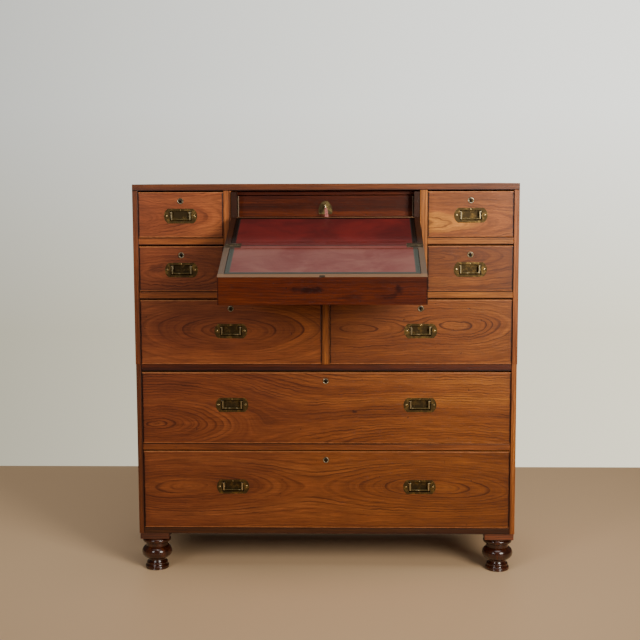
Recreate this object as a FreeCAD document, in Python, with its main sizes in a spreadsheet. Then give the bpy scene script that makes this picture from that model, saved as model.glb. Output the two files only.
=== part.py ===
import FreeCAD, Part
import os
import re

# Campaign chest in two stacked cases on four turned feet. +X is to the right,
# +Y to the back and +Z up. The origin is on the floor, in the middle of the
# box around the chest with its writing drawer drawn out and its lid folded open.

doc = FreeCAD.newDocument("CampaignChest")

# ---------------------------------------------------------------- driving sizes

SIZES = {
    # the two cases
    "case_width": 1000,          # outside width of the upper case
    "case_depth": 452,           # front to back of both cases
    "lower_inset": 1,            # the lower case is narrower by this on each side
    "side_board": 14.5,          # thickness of the four case sides
    "back_board": 8,             # thickness of the two backs
    "top_board": 17,             # thickness of the upper case's top
    "base_board": 15.5,          # thickness of the lower case's bottom
    "lower_top_board": 18,       # thickness of the lower case's top
    "upper_base_board": 14,      # thickness of the upper case's bottom
    "shelf_board": 18.5,         # shelf that carries the writing drawer
    "small_rail": 18.5,          # rail between two small drawers
    "long_rail": 17,             # rail between the long drawers
    "rail_depth": 52,            # front to back of a rail
    "runner_width": 24,          # width of a runner behind a rail
    "partition": 20,             # thickness of the uprights between drawers
    "top_setback": 1.5,          # the lower case's top stands this far back
    "arris": 1.2,                # rounding of the boards' front edges
    # openings for the drawers
    "low_long_opening": 211.5,
    "high_long_opening": 194,
    "half_opening": 159,
    "small_opening": 121.5,
    "writing_opening": 488,      # width between the two partitions
    # drawers
    "front_board": 20,
    "drawer_side": 10,
    "drawer_back": 9,
    "drawer_bottom": 7,
    "bottom_rise": 5,            # the bottom sits this far above the sides' edge
    "side_gap": 1,               # play beside a drawer
    "gap_under_front": 1.3,
    "gap_over_front": 3.5,
    "running_gap": 0.3,          # sides over their runners
    "lip_gap": 0.9,              # half drawer fronts over the lower case
    "side_drop": 3,              # a drawer's sides end this far under its front
    "back_play": 16,             # room behind a shut drawer
    "cut_over": 1,               # how far a cut runs past the face that it opens
    # flush handles
    "plate_width": 86,
    "plate_height": 38,
    "plate_end_radius": 23,
    "plate_thick": 1.6,
    "plate_proud": 0.4,
    "inlay_gap": 0.1,
    "recess_width": 57,
    "recess_height": 27,
    "recess_depth": 9,
    "cup_wall": 1.8,
    "bail_width": 52,
    "bail_arm": 4.6,
    "bail_thick": 3.6,
    "bail_reach": 18.5,          # pin to the middle of the grip
    "pin_radius": 1.2,
    "pin_gap": 0.05,
    "pin_drop": 4.2,             # pin under the top of its recess
    "pin_inset": 2.6,            # pin behind the plate's face
    "screw_head_radius": 2.6,
    "screw_head_thick": 1.2,
    "screw_radius": 1.1,
    "screw_length": 10,
    "screw_inset": 7,            # screw from the plate's end
    # where the handles sit
    "long_handle_x": 247,
    "low_handle_rise": 112.5,    # middle of a handle over its drawer's opening
    "high_handle_rise": 104,
    "half_handle_rise": 74,
    "small_handle_drop": 3,      # a small drawer's handle under its middle
    # round escutcheons and their locks
    "scutcheon_radius": 8,
    "scutcheon_thick": 2,
    "scutcheon_drop": 23,        # under the top of the drawer's front
    "keyhole_radius": 2.2,
    "keyhole_slot": 2.4,
    "keyhole_length": 5.5,
    "lock_width": 52,
    "lock_height": 32,
    "lock_thick": 8,
    "lock_back": 2,              # the lock's plate behind its keyhole
    # turned feet
    "foot_inset": 40,            # foot's axis from the case's side, front or back
    "block_width": 76,
    "block_height": 16,
    "collar_radius": 34,
    "collar_height": 3,
    "ring_radius": 38.5,
    "ring_height": 13,
    "neck_radius": 29,
    "neck_height": 9.5,
    "ball_radius": 40.5,
    "ball_height": 35,
    "waist_radius": 22,
    "waist_height": 5.5,
    "flare_radius": 27,
    "flare_height": 10.5,
    "groove_radius": 25,
    "groove_height": 1,
    "skirt_top_radius": 27.5,
    "skirt_radius": 31.5,
    "skirt_height": 9.5,
    "sole_radius": 29.5,
    "sole_height": 3,
    "spigot_radius": 12,
    "spigot_length": 24,
    "turning_lap": 4,            # the waist and neck run this far into the ball
    # pegs that register the upper case
    "peg_radius": 6,
    "peg_height": 7,
    "peg_sunk": 9,
    "peg_inset": 60,
    "peg_gap": 0.4,
    # writing drawer
    "writing_pull": 178,         # how far it is drawn out
    "writing_run": 172,          # front to back of the folding lid
    "writing_back_play": 18,     # room behind it when it is shut
    "writing_board": 16,         # thickness of its front, back and lid ends
    "writing_side": 14,          # thickness of its sides
    "writing_floor": 7,
    "lid_gap": 0.5,
    "hinge_offset": 1.5,         # fold's axis in front of the drawer's front
    "lid_far_height": 64.5,      # height of the lid's far board
    "lid_panel_rise": 1,         # the lid's panel over its boards' edges
    "ledge": 8,
    "flap_thick": 6,
    "flap_gap": 1.4,
    "leather_thick": 1,
    "leather_margin": 8.5,
    "rest_gap": 0.3,
    # fall of the small compartment and its lock
    "fall_thick": 14,
    "fall_gap": 0.8,
    "fall_head_gap": 2.4,        # lets the fall's back edge swing under its rail
    "tray_depth": 31,            # front to back of the pen tray before the fall
    "trough_radius": 12.5,
    "trough_rise": 1.5,          # trough's centre over the tray
    "trough_end": 14,            # wood left at each end of the trough
    "fall_rail": 8,
    "fall_rail_depth": 30,
    "compartment_floor": 6,
    "sill_height": 26,
    "key_height": 25,            # keyhole over the fall's bottom edge
    "fall_lock_width": 36,
    "fall_lock_drop": 12,        # lock case under the keyhole
    "fall_lock_face": 5,         # wood left in front of the lock case
    "bolt_width": 16,
    "bolt_thick": 3.4,
    "bolt_length": 20,
    "bolt_throw": 6,
    "bolt_gap": 0.3,
    "bolt_wall": 1.2,            # lock case behind its bolt
    "bolt_sunk": 0.2,            # the drawn bolt under the fall's edge
    "mortise_gap": 0.7,          # round the thrown bolt in its rail
    "lockplate_width": 36,
    "lockplate_height": 34,
    "lockplate_drop": 19,        # plate's lower edge under the keyhole
    "lockplate_arch": 30,        # radius of the pointed arch's two sides
    "lockplate_spring": 10,      # centre of the arch's sides under the keyhole
    "lockplate_thick": 1.5,
    "lockplate_proud": 0.3,
    "key_shank": 2.4,
    "key_reach": 8,
    "key_bow": 7.2,
    "key_bow_wire": 1.8,
    "key_bit": 6.4,
    "key_bit_thick": 1.8,
    "key_bit_short": 0.4,        # the bit ends this far inside its room
    "key_gap": 0.3,
    "ribbon_width": 12,
    "ribbon_thick": 2.4,
    "ribbon_length": 22,
    "ribbon_over": 4,            # how far it stands over the keyhole
    # brass of the fold
    "hinge_width": 40,
    "hinge_leaf": 13,
    "hinge_thick": 1.5,
    "hinge_inset": 1.2,
    "leaf_inset": 0.1,           # leaf from the fold's edge
    "tongue_lap": 0.6,           # tongue into its leaf
    "knuckle_radius": 1.35,
    "hinge_pin": 0.7,
    "knuckle_play": 0.25,
    "link_width": 13,
    "link_length": 9,
    "link_thick": 1.2,
    "link_proud": 0.2,
    "link_inset": 0.4,           # link from the far edge
    "writing_handle_x": 120,
    "writing_handle_rise": 55.7,
}

# Places worked out from the sizes; each may use the ones before it.
PLACES = {
    "lid_depth": "2 * hinge_offset + writing_run",
    "front": "(writing_pull + lid_depth - case_depth) / 2",
    "rear": "front + case_depth",
    "inside": "case_width / 2 - side_board",
    "low_half": "case_width / 2 - lower_inset",
    "low_inside": "low_half - side_board",
    # turned foot, from the floor up
    "skirt_top": "sole_height + skirt_height",
    "groove_top": "skirt_top + groove_height",
    "flare_top": "groove_top + flare_height",
    "waist_top": "flare_top + waist_height",
    "ball_top": "waist_top + ball_height",
    "neck_top": "ball_top + neck_height",
    "ring_top": "neck_top + ring_height",
    "collar_top": "ring_top + collar_height",
    "foot_height": "collar_top + block_height",
    # carcases, from the foot up
    "low_floor": "foot_height + base_board",
    "long_rail_z": "low_floor + low_long_opening",
    "high_floor": "long_rail_z + long_rail",
    "lower_top_z": "high_floor + high_long_opening",
    "split": "lower_top_z + lower_top_board",
    "half_floor": "split + upper_base_board",
    "shelf_z": "half_floor + half_opening",
    "shelf_top": "shelf_z + shelf_board",
    "small_rail_z": "shelf_top + small_opening",
    "small_floor": "small_rail_z + small_rail",
    "top_z": "small_floor + small_opening",
    "back_face": "rear - back_board",
    "drawer_depth": "case_depth - back_board - back_play",
    "writing_depth": "case_depth - back_board - writing_back_play",
    "writing_half": "writing_opening / 2",
    "small_inner": "writing_half + partition",
    "small_x": "(small_inner + inside) / 2",
    "lip": "upper_base_board - lip_gap + gap_under_front",
    "lip_depth": "front_board + lip_gap",
    # writing drawer
    "box_front": "front - writing_pull",
    "box_half": "writing_half - side_gap",
    "box_inside": "box_half - writing_side",
    "box_low": "shelf_top + gap_under_front",
    "box_sides_low": "shelf_top + running_gap",
    "box_top": "top_z - gap_over_front",
    "axis_y": "box_front - hinge_offset",
    "axis_z": "(box_low + box_top) / 2",
    "fold_z": "axis_z - lid_gap / 2",
    "rise": "box_top - lid_far_height - lid_gap - fold_z",
    "slope": "atan(rise / writing_run)",
    "slope_length": "writing_run / cos(slope)",
    "lid_near": "box_front - 2 * hinge_offset",
    "lid_far": "lid_near - writing_run",
    "flap_half": "box_inside - flap_gap",
    "flap_start": "writing_board / cos(slope) + flap_gap",
    "flap_end": "slope_length - flap_thick * tan(slope) - flap_gap",
    "lid_flap_start": "flap_start + flap_thick * tan(slope)",
    "lid_flap_end": "slope_length - writing_board / cos(slope) - flap_gap",
    "rim_z": "fold_z + rise",
    "tray_y": "box_front + writing_run + fall_gap",
    "fall_y": "tray_y + tray_depth",
    "fall_low": "rim_z + fall_gap",
    "fall_top": "box_top - fall_rail - fall_head_gap",
    "key_z": "fall_low + key_height",
    "lock_y": "fall_y + fall_lock_face",
    "lock_depth": "fall_thick - fall_lock_face",
    "bow_y": "fall_y - lockplate_thick - key_reach - key_bow",
    "bolt_y": "lock_y + lock_depth - bolt_gap - bolt_thick - bolt_wall",
    "pin_y": "front + pin_inset",
    # middles of the handles
    "low_long_handle_z": "low_floor + low_handle_rise",
    "high_long_handle_z": "high_floor + high_handle_rise",
    "half_handle_z": "half_floor + half_handle_rise",
    "writing_handle_z": "box_low + writing_handle_rise",
}

sizes = doc.addObject("Spreadsheet::Sheet", "Sizes")
for row, (alias, value) in enumerate(SIZES.items(), 1):
    sizes.set(f"A{row}", alias.replace("_", " "))
    sizes.set(f"B{row}", str(value))
    sizes.setAlias(f"B{row}", alias)

OWN_WORDS = re.compile(r"[a-z_][a-z0-9_]*")


def bound(text, own_sheet=False):
    """Write each bare size or place in an expression as a cell of its sheet."""

    def cell(match):
        word = match.group(0)
        if word in SIZES:
            return "Sizes." + word
        if word in PLACES and not own_sheet:
            return "Places." + word
        return word

    return OWN_WORDS.sub(cell, text)


places = doc.addObject("Spreadsheet::Sheet", "Places")
for row, (alias, text) in enumerate(PLACES.items(), 1):
    places.set(f"A{row}", alias.replace("_", " "))
    places.set(f"B{row}", "=" + bound(text, own_sheet=True))
    places.setAlias(f"B{row}", alias)
doc.recompute()

# ------------------------------------------------------------- building helpers


def bind(thing, **expressions):
    """Bind properties to expressions; a double underscore stands for a dot."""
    for name, text in expressions.items():
        thing.setExpression(name.replace("__", "."), bound(str(text)))
    return thing


def placed(thing, x, y, z):
    return bind(thing, Placement__Base__x=x, Placement__Base__y=y, Placement__Base__z=z)


def box(name, x, y, z, wide, deep, high):
    """A squared board with its low corner at x, y, z."""
    thing = doc.addObject("Part::Box", name)
    bind(thing, Length=wide, Width=deep, Height=high)
    return placed(thing, x, y, z)


def rod(name, axis, x, y, z, radius, length):
    """A round bar that starts at x, y, z and runs along +axis."""
    thing = doc.addObject("Part::Cylinder", name)
    bind(thing, Radius=radius, Height=length)
    turns = {"X": ((0, 1, 0), 90), "Y": ((1, 0, 0), -90), "Z": ((0, 0, 1), 0)}
    direction, angle = turns[axis]
    thing.Placement.Rotation = FreeCAD.Rotation(FreeCAD.Vector(*direction), angle)
    return placed(thing, x, y, z)


def on_slope(name, x, y, z, wide, along, thick):
    """A board parallel to the writing slope; x, y, z is its lower corner."""
    thing = box(name, x, y, z, wide, along, thick)
    any_angle = 20  # sets the axis to X; the slope then drives the angle
    thing.Placement.Rotation = FreeCAD.Rotation(FreeCAD.Vector(1, 0, 0), any_angle)
    return bind(thing, Placement__Rotation__Angle="slope")


def joined(name, *things):
    if len(things) == 1:
        return things[0]
    thing = doc.addObject("Part::MultiFuse", name)
    thing.Shapes = list(things)
    return thing


def without(name, base, *tools):
    """The base with every tool cut out of it."""
    thing = doc.addObject("Part::Cut", name)
    thing.Base = base
    thing.Tool = joined(name + "_tools", *tools)
    return thing


def shared(name, base, tool):
    thing = doc.addObject("Part::Common", name)
    thing.Base = base
    thing.Tool = tool
    return thing


TOUCHING = 0.01


def eased(name, base, low_y_only=True):
    """The base with the edges of its front face, or all its edges, rounded."""
    doc.recompute()
    front_y = base.Shape.BoundBox.YMin
    thing = doc.addObject("Part::Fillet", name)
    thing.Base = base
    radius = sizes.get("arris")
    chosen = []
    for number, edge in enumerate(base.Shape.Edges, 1):
        if low_y_only and edge.BoundBox.YMax > front_y + TOUCHING:
            continue
        chosen.append((number, radius, radius))
    thing.Edges = chosen
    return thing


NODES = []


def node(name, *things):
    """Finish a sub-part: its Label names its file, its solids stay separate."""
    if len(things) == 1:
        thing = things[0]
    else:
        thing = doc.addObject("Part::Compound", name + "_group")
        thing.Links = list(things)
    thing.Label = name
    NODES.append(thing)
    return thing


def mirrored_pair(make):
    """Two like pieces, left and right; make gets a name's end and the sign of X."""
    return [make("left", -1), make("right", 1)]


def from_side(sign, near, width):
    """Low X of a piece between near and near + width out from the middle."""
    return near if sign > 0 else f"-({near}) - ({width})"


# ------------------------------------------------------------------- lower case


def case_side(name, sign, half, z, high):
    blank = box(name + "_blank", from_side(sign, f"{half} - side_board", "side_board"),
                "front", z, "side_board", "case_depth", high)
    return eased(name, blank)


node("lower_sides", *mirrored_pair(lambda end, sign: case_side(
    f"lower_side_{end}", sign, "low_half", "foot_height", "split - foot_height")))


def feet_places():
    """Name and axis of each foot: front and back, left and right."""
    for row, y in (("front", "front + foot_inset"), ("back", "rear - foot_inset")):
        for end, sign in (("left", "-"), ("right", "")):
            yield f"{row}_{end}", f"{sign}(low_half - foot_inset)", y


def peg_places():
    """Pegs near the corners, half in the lower case and half in the upper."""
    for row, y in (("front", "front + peg_inset"), ("back", "back_face - peg_inset")):
        for end, sign in (("left", "-"), ("right", "")):
            yield f"{row}_{end}", f"{sign}(low_inside - peg_inset)", y


def lower_boards():
    deep = "case_depth - back_board"
    base = box("base_blank", "-low_inside", "front", "foot_height",
               "2 * low_inside", deep, "base_board")
    spigot_holes = [rod(f"spigot_hole_{end}", "Z", x, y, "foot_height - cut_over",
                        "spigot_radius + inlay_gap",
                        "spigot_length - block_height + cut_over + inlay_gap")
                    for end, x, y in feet_places()]
    node("base_board", without("base_drilled", eased("base_eased", base), *spigot_holes))

    top = box("lower_top_blank", "-low_inside", "front + top_setback", "lower_top_z",
              "2 * low_inside", deep + " - top_setback", "lower_top_board")
    sockets = [rod(f"peg_socket_{end}", "Z", x, y, "split - peg_sunk",
                   "peg_radius", "peg_sunk + cut_over")
               for end, x, y in peg_places()]
    pegs = [rod(f"peg_{end}", "Z", x, y, "split - peg_sunk", "peg_radius",
                "peg_sunk + peg_height") for end, x, y in peg_places()]
    node("lower_top", without("lower_top_drilled", eased("lower_top_eased", top), *sockets), *pegs)

    node("lower_back", box("lower_back_board", "-low_inside", "back_face", "foot_height",
                           "2 * low_inside", "back_board", "split - foot_height"))


def rail_and_runners(name, low_x, high_x, z, thick):
    """A rail across the front and the two runners that a drawer slides on."""
    rail = box(name + "_blank", low_x, "front", z, f"{high_x} - ({low_x})", "rail_depth", thick)
    runner_y = "front + rail_depth"
    runner_long = "case_depth - back_board - rail_depth"
    left = box(name + "_runner_left", low_x, runner_y, z, "runner_width", runner_long, thick)
    right = box(name + "_runner_right", f"{high_x} - runner_width", runner_y, z,
                "runner_width", runner_long, thick)
    return [eased(name, rail), left, right]


def taper(name, x, y, z, low_radius, high_radius, high):
    """A round piece that widens or narrows as it goes up."""
    thing = doc.addObject("Part::Cone", name)
    bind(thing, Radius1=low_radius, Radius2=high_radius, Height=high)
    return placed(thing, x, y, z)


def bead(name, x, y, z, radius, high):
    """A disc with a half-round edge."""
    core = rod(name + "_core", "Z", x, y, z, f"{radius} - {high} / 2", high)
    edge = doc.addObject("Part::Torus", name + "_edge")
    bind(edge, Radius1=f"{radius} - {high} / 2", Radius2=f"{high} / 2")
    return [core, placed(edge, x, y, f"{z} + {high} / 2")]


def turned_foot(end, x, y):
    """Bun foot, from the floor up: flared base, waist, ball, neck, ring and spigot."""
    base = [taper(f"foot_sole_{end}", x, y, "0", "sole_radius", "skirt_radius", "sole_height"),
            taper(f"foot_skirt_{end}", x, y, "sole_height", "skirt_radius", "skirt_top_radius",
                  "skirt_height"),
            rod(f"foot_groove_{end}", "Z", x, y, "skirt_top", "groove_radius", "groove_height"),
            taper(f"foot_flare_{end}", x, y, "groove_top", "flare_radius", "waist_radius",
                  "flare_height")]
    waist = rod(f"foot_waist_{end}", "Z", x, y, "flare_top", "waist_radius",
                "waist_height + turning_lap")
    ball = bead(f"foot_ball_{end}", x, y, "waist_top", "ball_radius", "ball_height")
    neck = rod(f"foot_neck_{end}", "Z", x, y, "ball_top - turning_lap", "neck_radius",
               "neck_height + 2 * turning_lap")
    ring = bead(f"foot_ring_{end}", x, y, "neck_top", "ring_radius", "ring_height")
    collar = rod(f"foot_collar_{end}", "Z", x, y, "ring_top - turning_lap", "collar_radius",
                 "collar_height + turning_lap")
    spigot = rod(f"foot_spigot_{end}", "Z", x, y, "collar_top", "spigot_radius", "spigot_length")
    return joined(f"foot_{end}", *base, waist, *ball, neck, *ring, collar, spigot)


def foot_block(end, x, y):
    """Square block glued under the corner of the case."""
    blank = box(f"block_blank_{end}", f"{x} - block_width / 2", f"{y} - block_width / 2",
                "foot_height - block_height", "block_width", "block_width", "block_height")
    hole = rod(f"block_hole_{end}", "Z", x, y, "foot_height - block_height - cut_over",
               "spigot_radius + inlay_gap", "block_height + 2 * cut_over")
    return without(f"block_{end}", blank, hole)


lower_boards()
node("lower_rails", *rail_and_runners("long_rail", "-low_inside", "low_inside",
                                      "long_rail_z", "long_rail"))
node("feet", *[turned_foot(*place) for place in feet_places()],
     *[foot_block(*place) for place in feet_places()])

# ------------------------------------------------------------------- upper case


def upper_boards():
    deep = "case_depth - back_board"
    node("upper_sides", *mirrored_pair(lambda end, sign: case_side(
        f"upper_side_{end}", sign, "case_width / 2", "split", "top_z - split")))
    top = box("top_blank", "-case_width / 2", "front", "top_z", "case_width", "case_depth", "top_board")
    node("upper_top", eased("top_eased", top, low_y_only=False))

    bottom = box("upper_bottom_board", "-inside", "front + lip_depth", "split",
                 "2 * inside", f"{deep} - lip_depth", "upper_base_board")
    holes = [rod(f"peg_hole_{end}", "Z", x, y, "split - cut_over", "peg_radius + peg_gap",
                 "peg_height + cut_over + peg_gap") for end, x, y in peg_places()]
    node("upper_bottom", without("upper_bottom_drilled", bottom, *holes))

    shelf = box("shelf_blank", "-inside", "front", "shelf_z", "2 * inside", deep, "shelf_board")
    shelf_and_rails = [eased("shelf_eased", shelf)]

    uprights = []
    for end, sign in (("left", -1), ("right", 1)):
        blank = box(f"partition_{end}_blank", from_side(sign, "writing_half", "partition"),
                    "front", "shelf_top", "partition", deep, "top_z - shelf_top")
        uprights.append(eased(f"partition_{end}", blank))
    post = box("divider_post", "-partition / 2", "front", "split", "partition", "lip_depth",
               "shelf_z - split")
    panel = box("divider_panel", "-partition / 2", "front + lip_depth", "half_floor",
                "partition", f"{deep} - lip_depth", "half_opening")
    uprights.append(joined("divider", eased("divider_post_eased", post), panel))
    node("partitions", *uprights)

    for end, low_x, high_x in (("left", "-inside", "-small_inner"), ("right", "small_inner", "inside")):
        shelf_and_rails += rail_and_runners(f"small_rail_{end}", low_x, high_x, "small_rail_z",
                                            "small_rail")
    node("upper_rails", *shelf_and_rails)

    node("upper_back", box("upper_back_board", "-inside", "back_face", "split",
                           "2 * inside", "back_board", "top_z - split"))


upper_boards()

# ---------------------------------------------------------------- flush handles


def plate_outline(name, x, z, y, grow, thick):
    """Handle plate: straight top and bottom, round ends."""
    blank = box(name + "_bar", f"{x} - plate_width / 2 - {grow}", y,
                f"{z} - plate_height / 2 - {grow}", f"plate_width + 2 * {grow}", thick,
                f"plate_height + 2 * {grow}")
    reach = "plate_width / 2 - plate_end_radius"
    ends = [rod(f"{name}_end_{end}", "Y", f"{x} {sign} ({reach})", y, z,
                f"plate_end_radius + {grow}", thick) for end, sign in (("left", "-"), ("right", "+"))]
    middle = box(name + "_middle", f"{x} - ({reach})", y, f"{z} - plate_height / 2 - {grow}",
                 f"2 * ({reach})", thick, f"plate_height + 2 * {grow}")
    return shared(name, blank, joined(name + "_form", middle, *ends))


def recess(name, x, z, y, grow, depth):
    """The pan behind a handle's bail, or the cut that holds it."""
    return box(name, f"{x} - recess_width / 2 - ({grow})", y, f"{z} - recess_height / 2 - ({grow})",
               f"recess_width + 2 * ({grow})", depth, f"recess_height + 2 * ({grow})")


def screw(name, x, z, y, grow="0"):
    """Flat-headed screw sunk in the plate, or the hole that it takes."""
    head = doc.addObject("Part::Cone", name + "_head")
    bind(head, Radius1=f"screw_head_radius + {grow}", Radius2=f"screw_radius + {grow}",
         Height="screw_head_thick")
    head.Placement.Rotation = FreeCAD.Rotation(FreeCAD.Vector(1, 0, 0), -90)
    placed(head, x, y, z)
    shank = rod(name + "_shank", "Y", x, y, z, f"screw_radius + {grow}", f"screw_length + {grow}")
    return joined(name, head, shank)


def screw_places(x):
    for end, sign in (("left", "-"), ("right", "+")):
        yield end, f"{x} {sign} (plate_width / 2 - screw_inset)"


def handle_plate(name, x, z, front_y):
    """Brass plate with its pan, drilled for the bail's pins and two screws."""
    face = f"{front_y} - plate_proud"
    plate = plate_outline(name + "_plate", x, z, face, "0", "plate_thick")
    pan = recess(name + "_pan", x, z, face, "cup_wall", "recess_depth + cup_wall")
    hollow = recess(name + "_hollow", x, z, f"{face} - cut_over", "0",
                    "recess_depth + cut_over")
    pins = rod(name + "_pin_hole", "X", f"{x} - recess_width / 2 - cup_wall - cut_over",
               f"{front_y} + pin_inset", f"{z} + recess_height / 2 - pin_drop",
               "pin_radius + pin_gap", "recess_width + 2 * cup_wall + 2 * cut_over")
    holes = [screw(f"{name}_screw_hole_{end}", at, z, face, "inlay_gap")
             for end, at in screw_places(x)]
    return without(name, joined(name + "_blank", plate, pan), hollow, pins, *holes)


def handle_screws(name, x, z, front_y):
    return [screw(f"{name}_screw_{end}", at, z, f"{front_y} - plate_proud")
            for end, at in screw_places(x)]


def handle_cuts(name, x, z, front_y):
    """What is cut from the wood for a plate, its pan and its screws."""
    let_in = plate_outline(name + "_let_in", x, z, f"{front_y} - cut_over", "inlay_gap",
                           "plate_thick - plate_proud + cut_over")
    well = recess(name + "_well", x, z, front_y, "cup_wall + inlay_gap",
                  "recess_depth + cup_wall - plate_proud + inlay_gap")
    pin_room = rod(name + "_pin_room", "X", f"{x} - recess_width / 2 - cup_wall - cut_over",
                   f"{front_y} + pin_inset", f"{z} + recess_height / 2 - pin_drop",
                   "pin_radius + pin_gap", "recess_width + 2 * cup_wall + 2 * cut_over")
    holes = [screw(f"{name}_pilot_{end}", at, z, f"{front_y} - plate_proud", "inlay_gap")
             for end, at in screw_places(x)]
    return [let_in, well, pin_room, *holes]


def bail(name, x, z, front_y):
    """Drop handle: two arms on short pins, and a round grip that joins them."""
    y = f"{front_y} + pin_inset"
    top = f"{z} + recess_height / 2 - pin_drop"
    half = "bail_width / 2"
    pieces = [rod(name + "_grip", "X", f"{x} - {half} + bail_arm / 2", y, f"{top} - bail_reach",
                  "bail_thick / 2", "bail_width - bail_arm")]
    for end, low_x, pin_x in (
            ("left", f"{x} - {half}", f"{x} - recess_width / 2 - cup_wall"),
            ("right", f"{x} + {half} - bail_arm", f"{x} + {half} - bail_arm / 2")):
        pieces.append(box(f"{name}_arm_{end}", low_x, f"{y} - bail_thick / 2", f"{top} - bail_reach",
                          "bail_arm", "bail_thick", "bail_reach"))
        for part, drop in (("eye", "0"), ("heel", "bail_reach")):
            pieces.append(rod(f"{name}_{part}_{end}", "X", low_x, y, f"{top} - {drop}",
                              "bail_thick / 2", "bail_arm"))
        pieces.append(rod(f"{name}_pin_{end}", "X", pin_x, y, top, "pin_radius",
                          "recess_width / 2 + cup_wall - bail_width / 2 + bail_arm / 2"))
    return joined(name, *pieces)


# ------------------------------------------------------ escutcheons and locks


def keyhole(name, x, z, y, depth):
    eye = rod(name + "_eye", "Y", x, y, z, "keyhole_radius", depth)
    slot = box(name + "_slot", f"{x} - keyhole_slot / 2", y, f"{z} - keyhole_length",
               "keyhole_slot", depth, "keyhole_length")
    return joined(name, eye, slot)


def scutcheon(name, x, z):
    disc = rod(name + "_disc", "Y", x, "front - plate_proud", z, "scutcheon_radius", "scutcheon_thick")
    return without(name, disc, keyhole(name + "_hole", x, z, "front - cut_over",
                                       "scutcheon_thick + 2 * cut_over"))


def drawer_lock(name, x, z):
    """Lock case screwed flush in the back of the front, with its keyhole."""
    case = box(name + "_case", f"{x} - lock_width / 2", "front + front_board - lock_thick",
               f"{z} - lock_height / 2", "lock_width", "lock_thick", "lock_height")
    return without(name, case, keyhole(name + "_hole", x, z, "front", "front_board - lock_back"))


def lock_cuts(name, x, z):
    disc = rod(name + "_disc_seat", "Y", x, "front - cut_over", z, "scutcheon_radius + inlay_gap",
               "scutcheon_thick - plate_proud + cut_over")
    case = box(name + "_case_seat", f"{x} - lock_width / 2", "front + front_board - lock_thick",
               f"{z} - lock_height / 2", "lock_width", "lock_thick + cut_over", "lock_height")
    return [disc, case, keyhole(name + "_bored", x, z, "front - cut_over",
                                "front_board + 2 * cut_over")]


# ---------------------------------------------------------------------- drawers


def drawer(name, left, right, floor, ceiling, handles, handle_z, lip="0"):
    """One drawer with its front, box, brassware and bails."""
    low_x = f"{left} + side_gap"
    wide = f"{right} - ({left}) - 2 * side_gap"
    low_z = f"{floor} + gap_under_front - {lip}"
    top_z = f"{ceiling} - gap_over_front"
    blank = box(name + "_front_blank", low_x, "front", low_z, wide, "front_board",
                f"{top_z} - ({low_z})")
    lock_x = f"({left} + {right}) / 2"
    lock_z = f"{top_z} - scutcheon_drop"
    cuts = lock_cuts(name + "_lock", lock_x, lock_z)
    brass = [scutcheon(name + "_scutcheon", lock_x, lock_z), drawer_lock(name + "_lock", lock_x, lock_z)]
    for end, x in handles:
        cuts += handle_cuts(f"{name}_handle{end}", x, handle_z, "front")
        brass.append(handle_plate(f"{name}_handle{end}", x, handle_z, "front"))
        brass += handle_screws(f"{name}_handle{end}", x, handle_z, "front")
    node(name + "_front", without(name + "_front_cut", eased(name + "_front_eased", blank), *cuts))

    back_y = "front + front_board"
    sides_low = f"{floor} + running_gap"
    sides_high = f"{top_z} - side_drop - ({sides_low})"
    long = "drawer_depth - front_board"
    inner_x = f"{low_x} + drawer_side"
    inner_wide = f"{wide} - 2 * drawer_side"
    node(name + "_box",
         box(name + "_side_left", low_x, back_y, sides_low, "drawer_side", long, sides_high),
         box(name + "_side_right", f"{right} - side_gap - drawer_side", back_y, sides_low,
             "drawer_side", long, sides_high),
         box(name + "_back", inner_x, "front + drawer_depth - drawer_back",
             f"{sides_low} + bottom_rise + drawer_bottom", inner_wide, "drawer_back",
             f"{sides_high} - bottom_rise - drawer_bottom"),
         box(name + "_bottom", inner_x, back_y, f"{sides_low} + bottom_rise", inner_wide, long,
             "drawer_bottom"))
    node(name + "_brass", *brass)
    for end, x in handles:
        node(f"{name}_bail{end}", bail(f"{name}_bail{end}_made", x, handle_z, "front"))


ONE_HANDLE_LEFT = [("", "-small_x")]
ONE_HANDLE_RIGHT = [("", "small_x")]
TWO_HANDLES = [("_left", "-long_handle_x"), ("_right", "long_handle_x")]

for tier, floor in (("upper", "small_floor"), ("lower", "shelf_top")):
    ceiling = f"({floor} + small_opening)"
    middle = f"({floor} + gap_under_front + {ceiling} - gap_over_front) / 2 - small_handle_drop"
    drawer(f"small_{tier}_left", "-inside", "-small_inner", floor, ceiling, ONE_HANDLE_LEFT, middle)
    drawer(f"small_{tier}_right", "small_inner", "inside", floor, ceiling, ONE_HANDLE_RIGHT, middle)
for end, left, right in (("left", "-inside", "-partition / 2"), ("right", "partition / 2", "inside")):
    drawer(f"half_{end}", left, right, "half_floor", "shelf_z",
           [("", f"({left} + {right}) / 2")], "half_handle_z", "lip")
drawer("long_high", "-low_inside", "low_inside", "high_floor", "lower_top_z",
       TWO_HANDLES, "high_long_handle_z")
drawer("long_low", "-low_inside", "low_inside", "low_floor", "long_rail_z",
       TWO_HANDLES, "low_long_handle_z")

# --------------------------------------------------------------- writing drawer

# The drawer is a lap desk: its box is cut by a slope, and the part above the
# slope is a lid that folds forward about the drawer's front and doubles the
# slope. At rest the drawer is drawn out and the lid lies open.

BOX_WIDE = "2 * box_half"
INSIDE_WIDE = "2 * box_inside"
FULL_WIDTH = ("-box_half - cut_over", "2 * box_half + 2 * cut_over")


def above_slope(name, low_x, wide):
    """What the slope takes off the drawer's sides and front board."""
    wedge = on_slope(name + "_wedge", low_x, "box_front - slope_length * cos(slope)",
                     "fold_z - slope_length * sin(slope)", wide, "3 * slope_length", "slope_length")
    room = box(name + "_room", low_x, "box_front - cut_over", "fold_z", wide,
               "writing_run + cut_over", "box_top - fold_z + cut_over")
    return shared(name, wedge, room)


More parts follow.
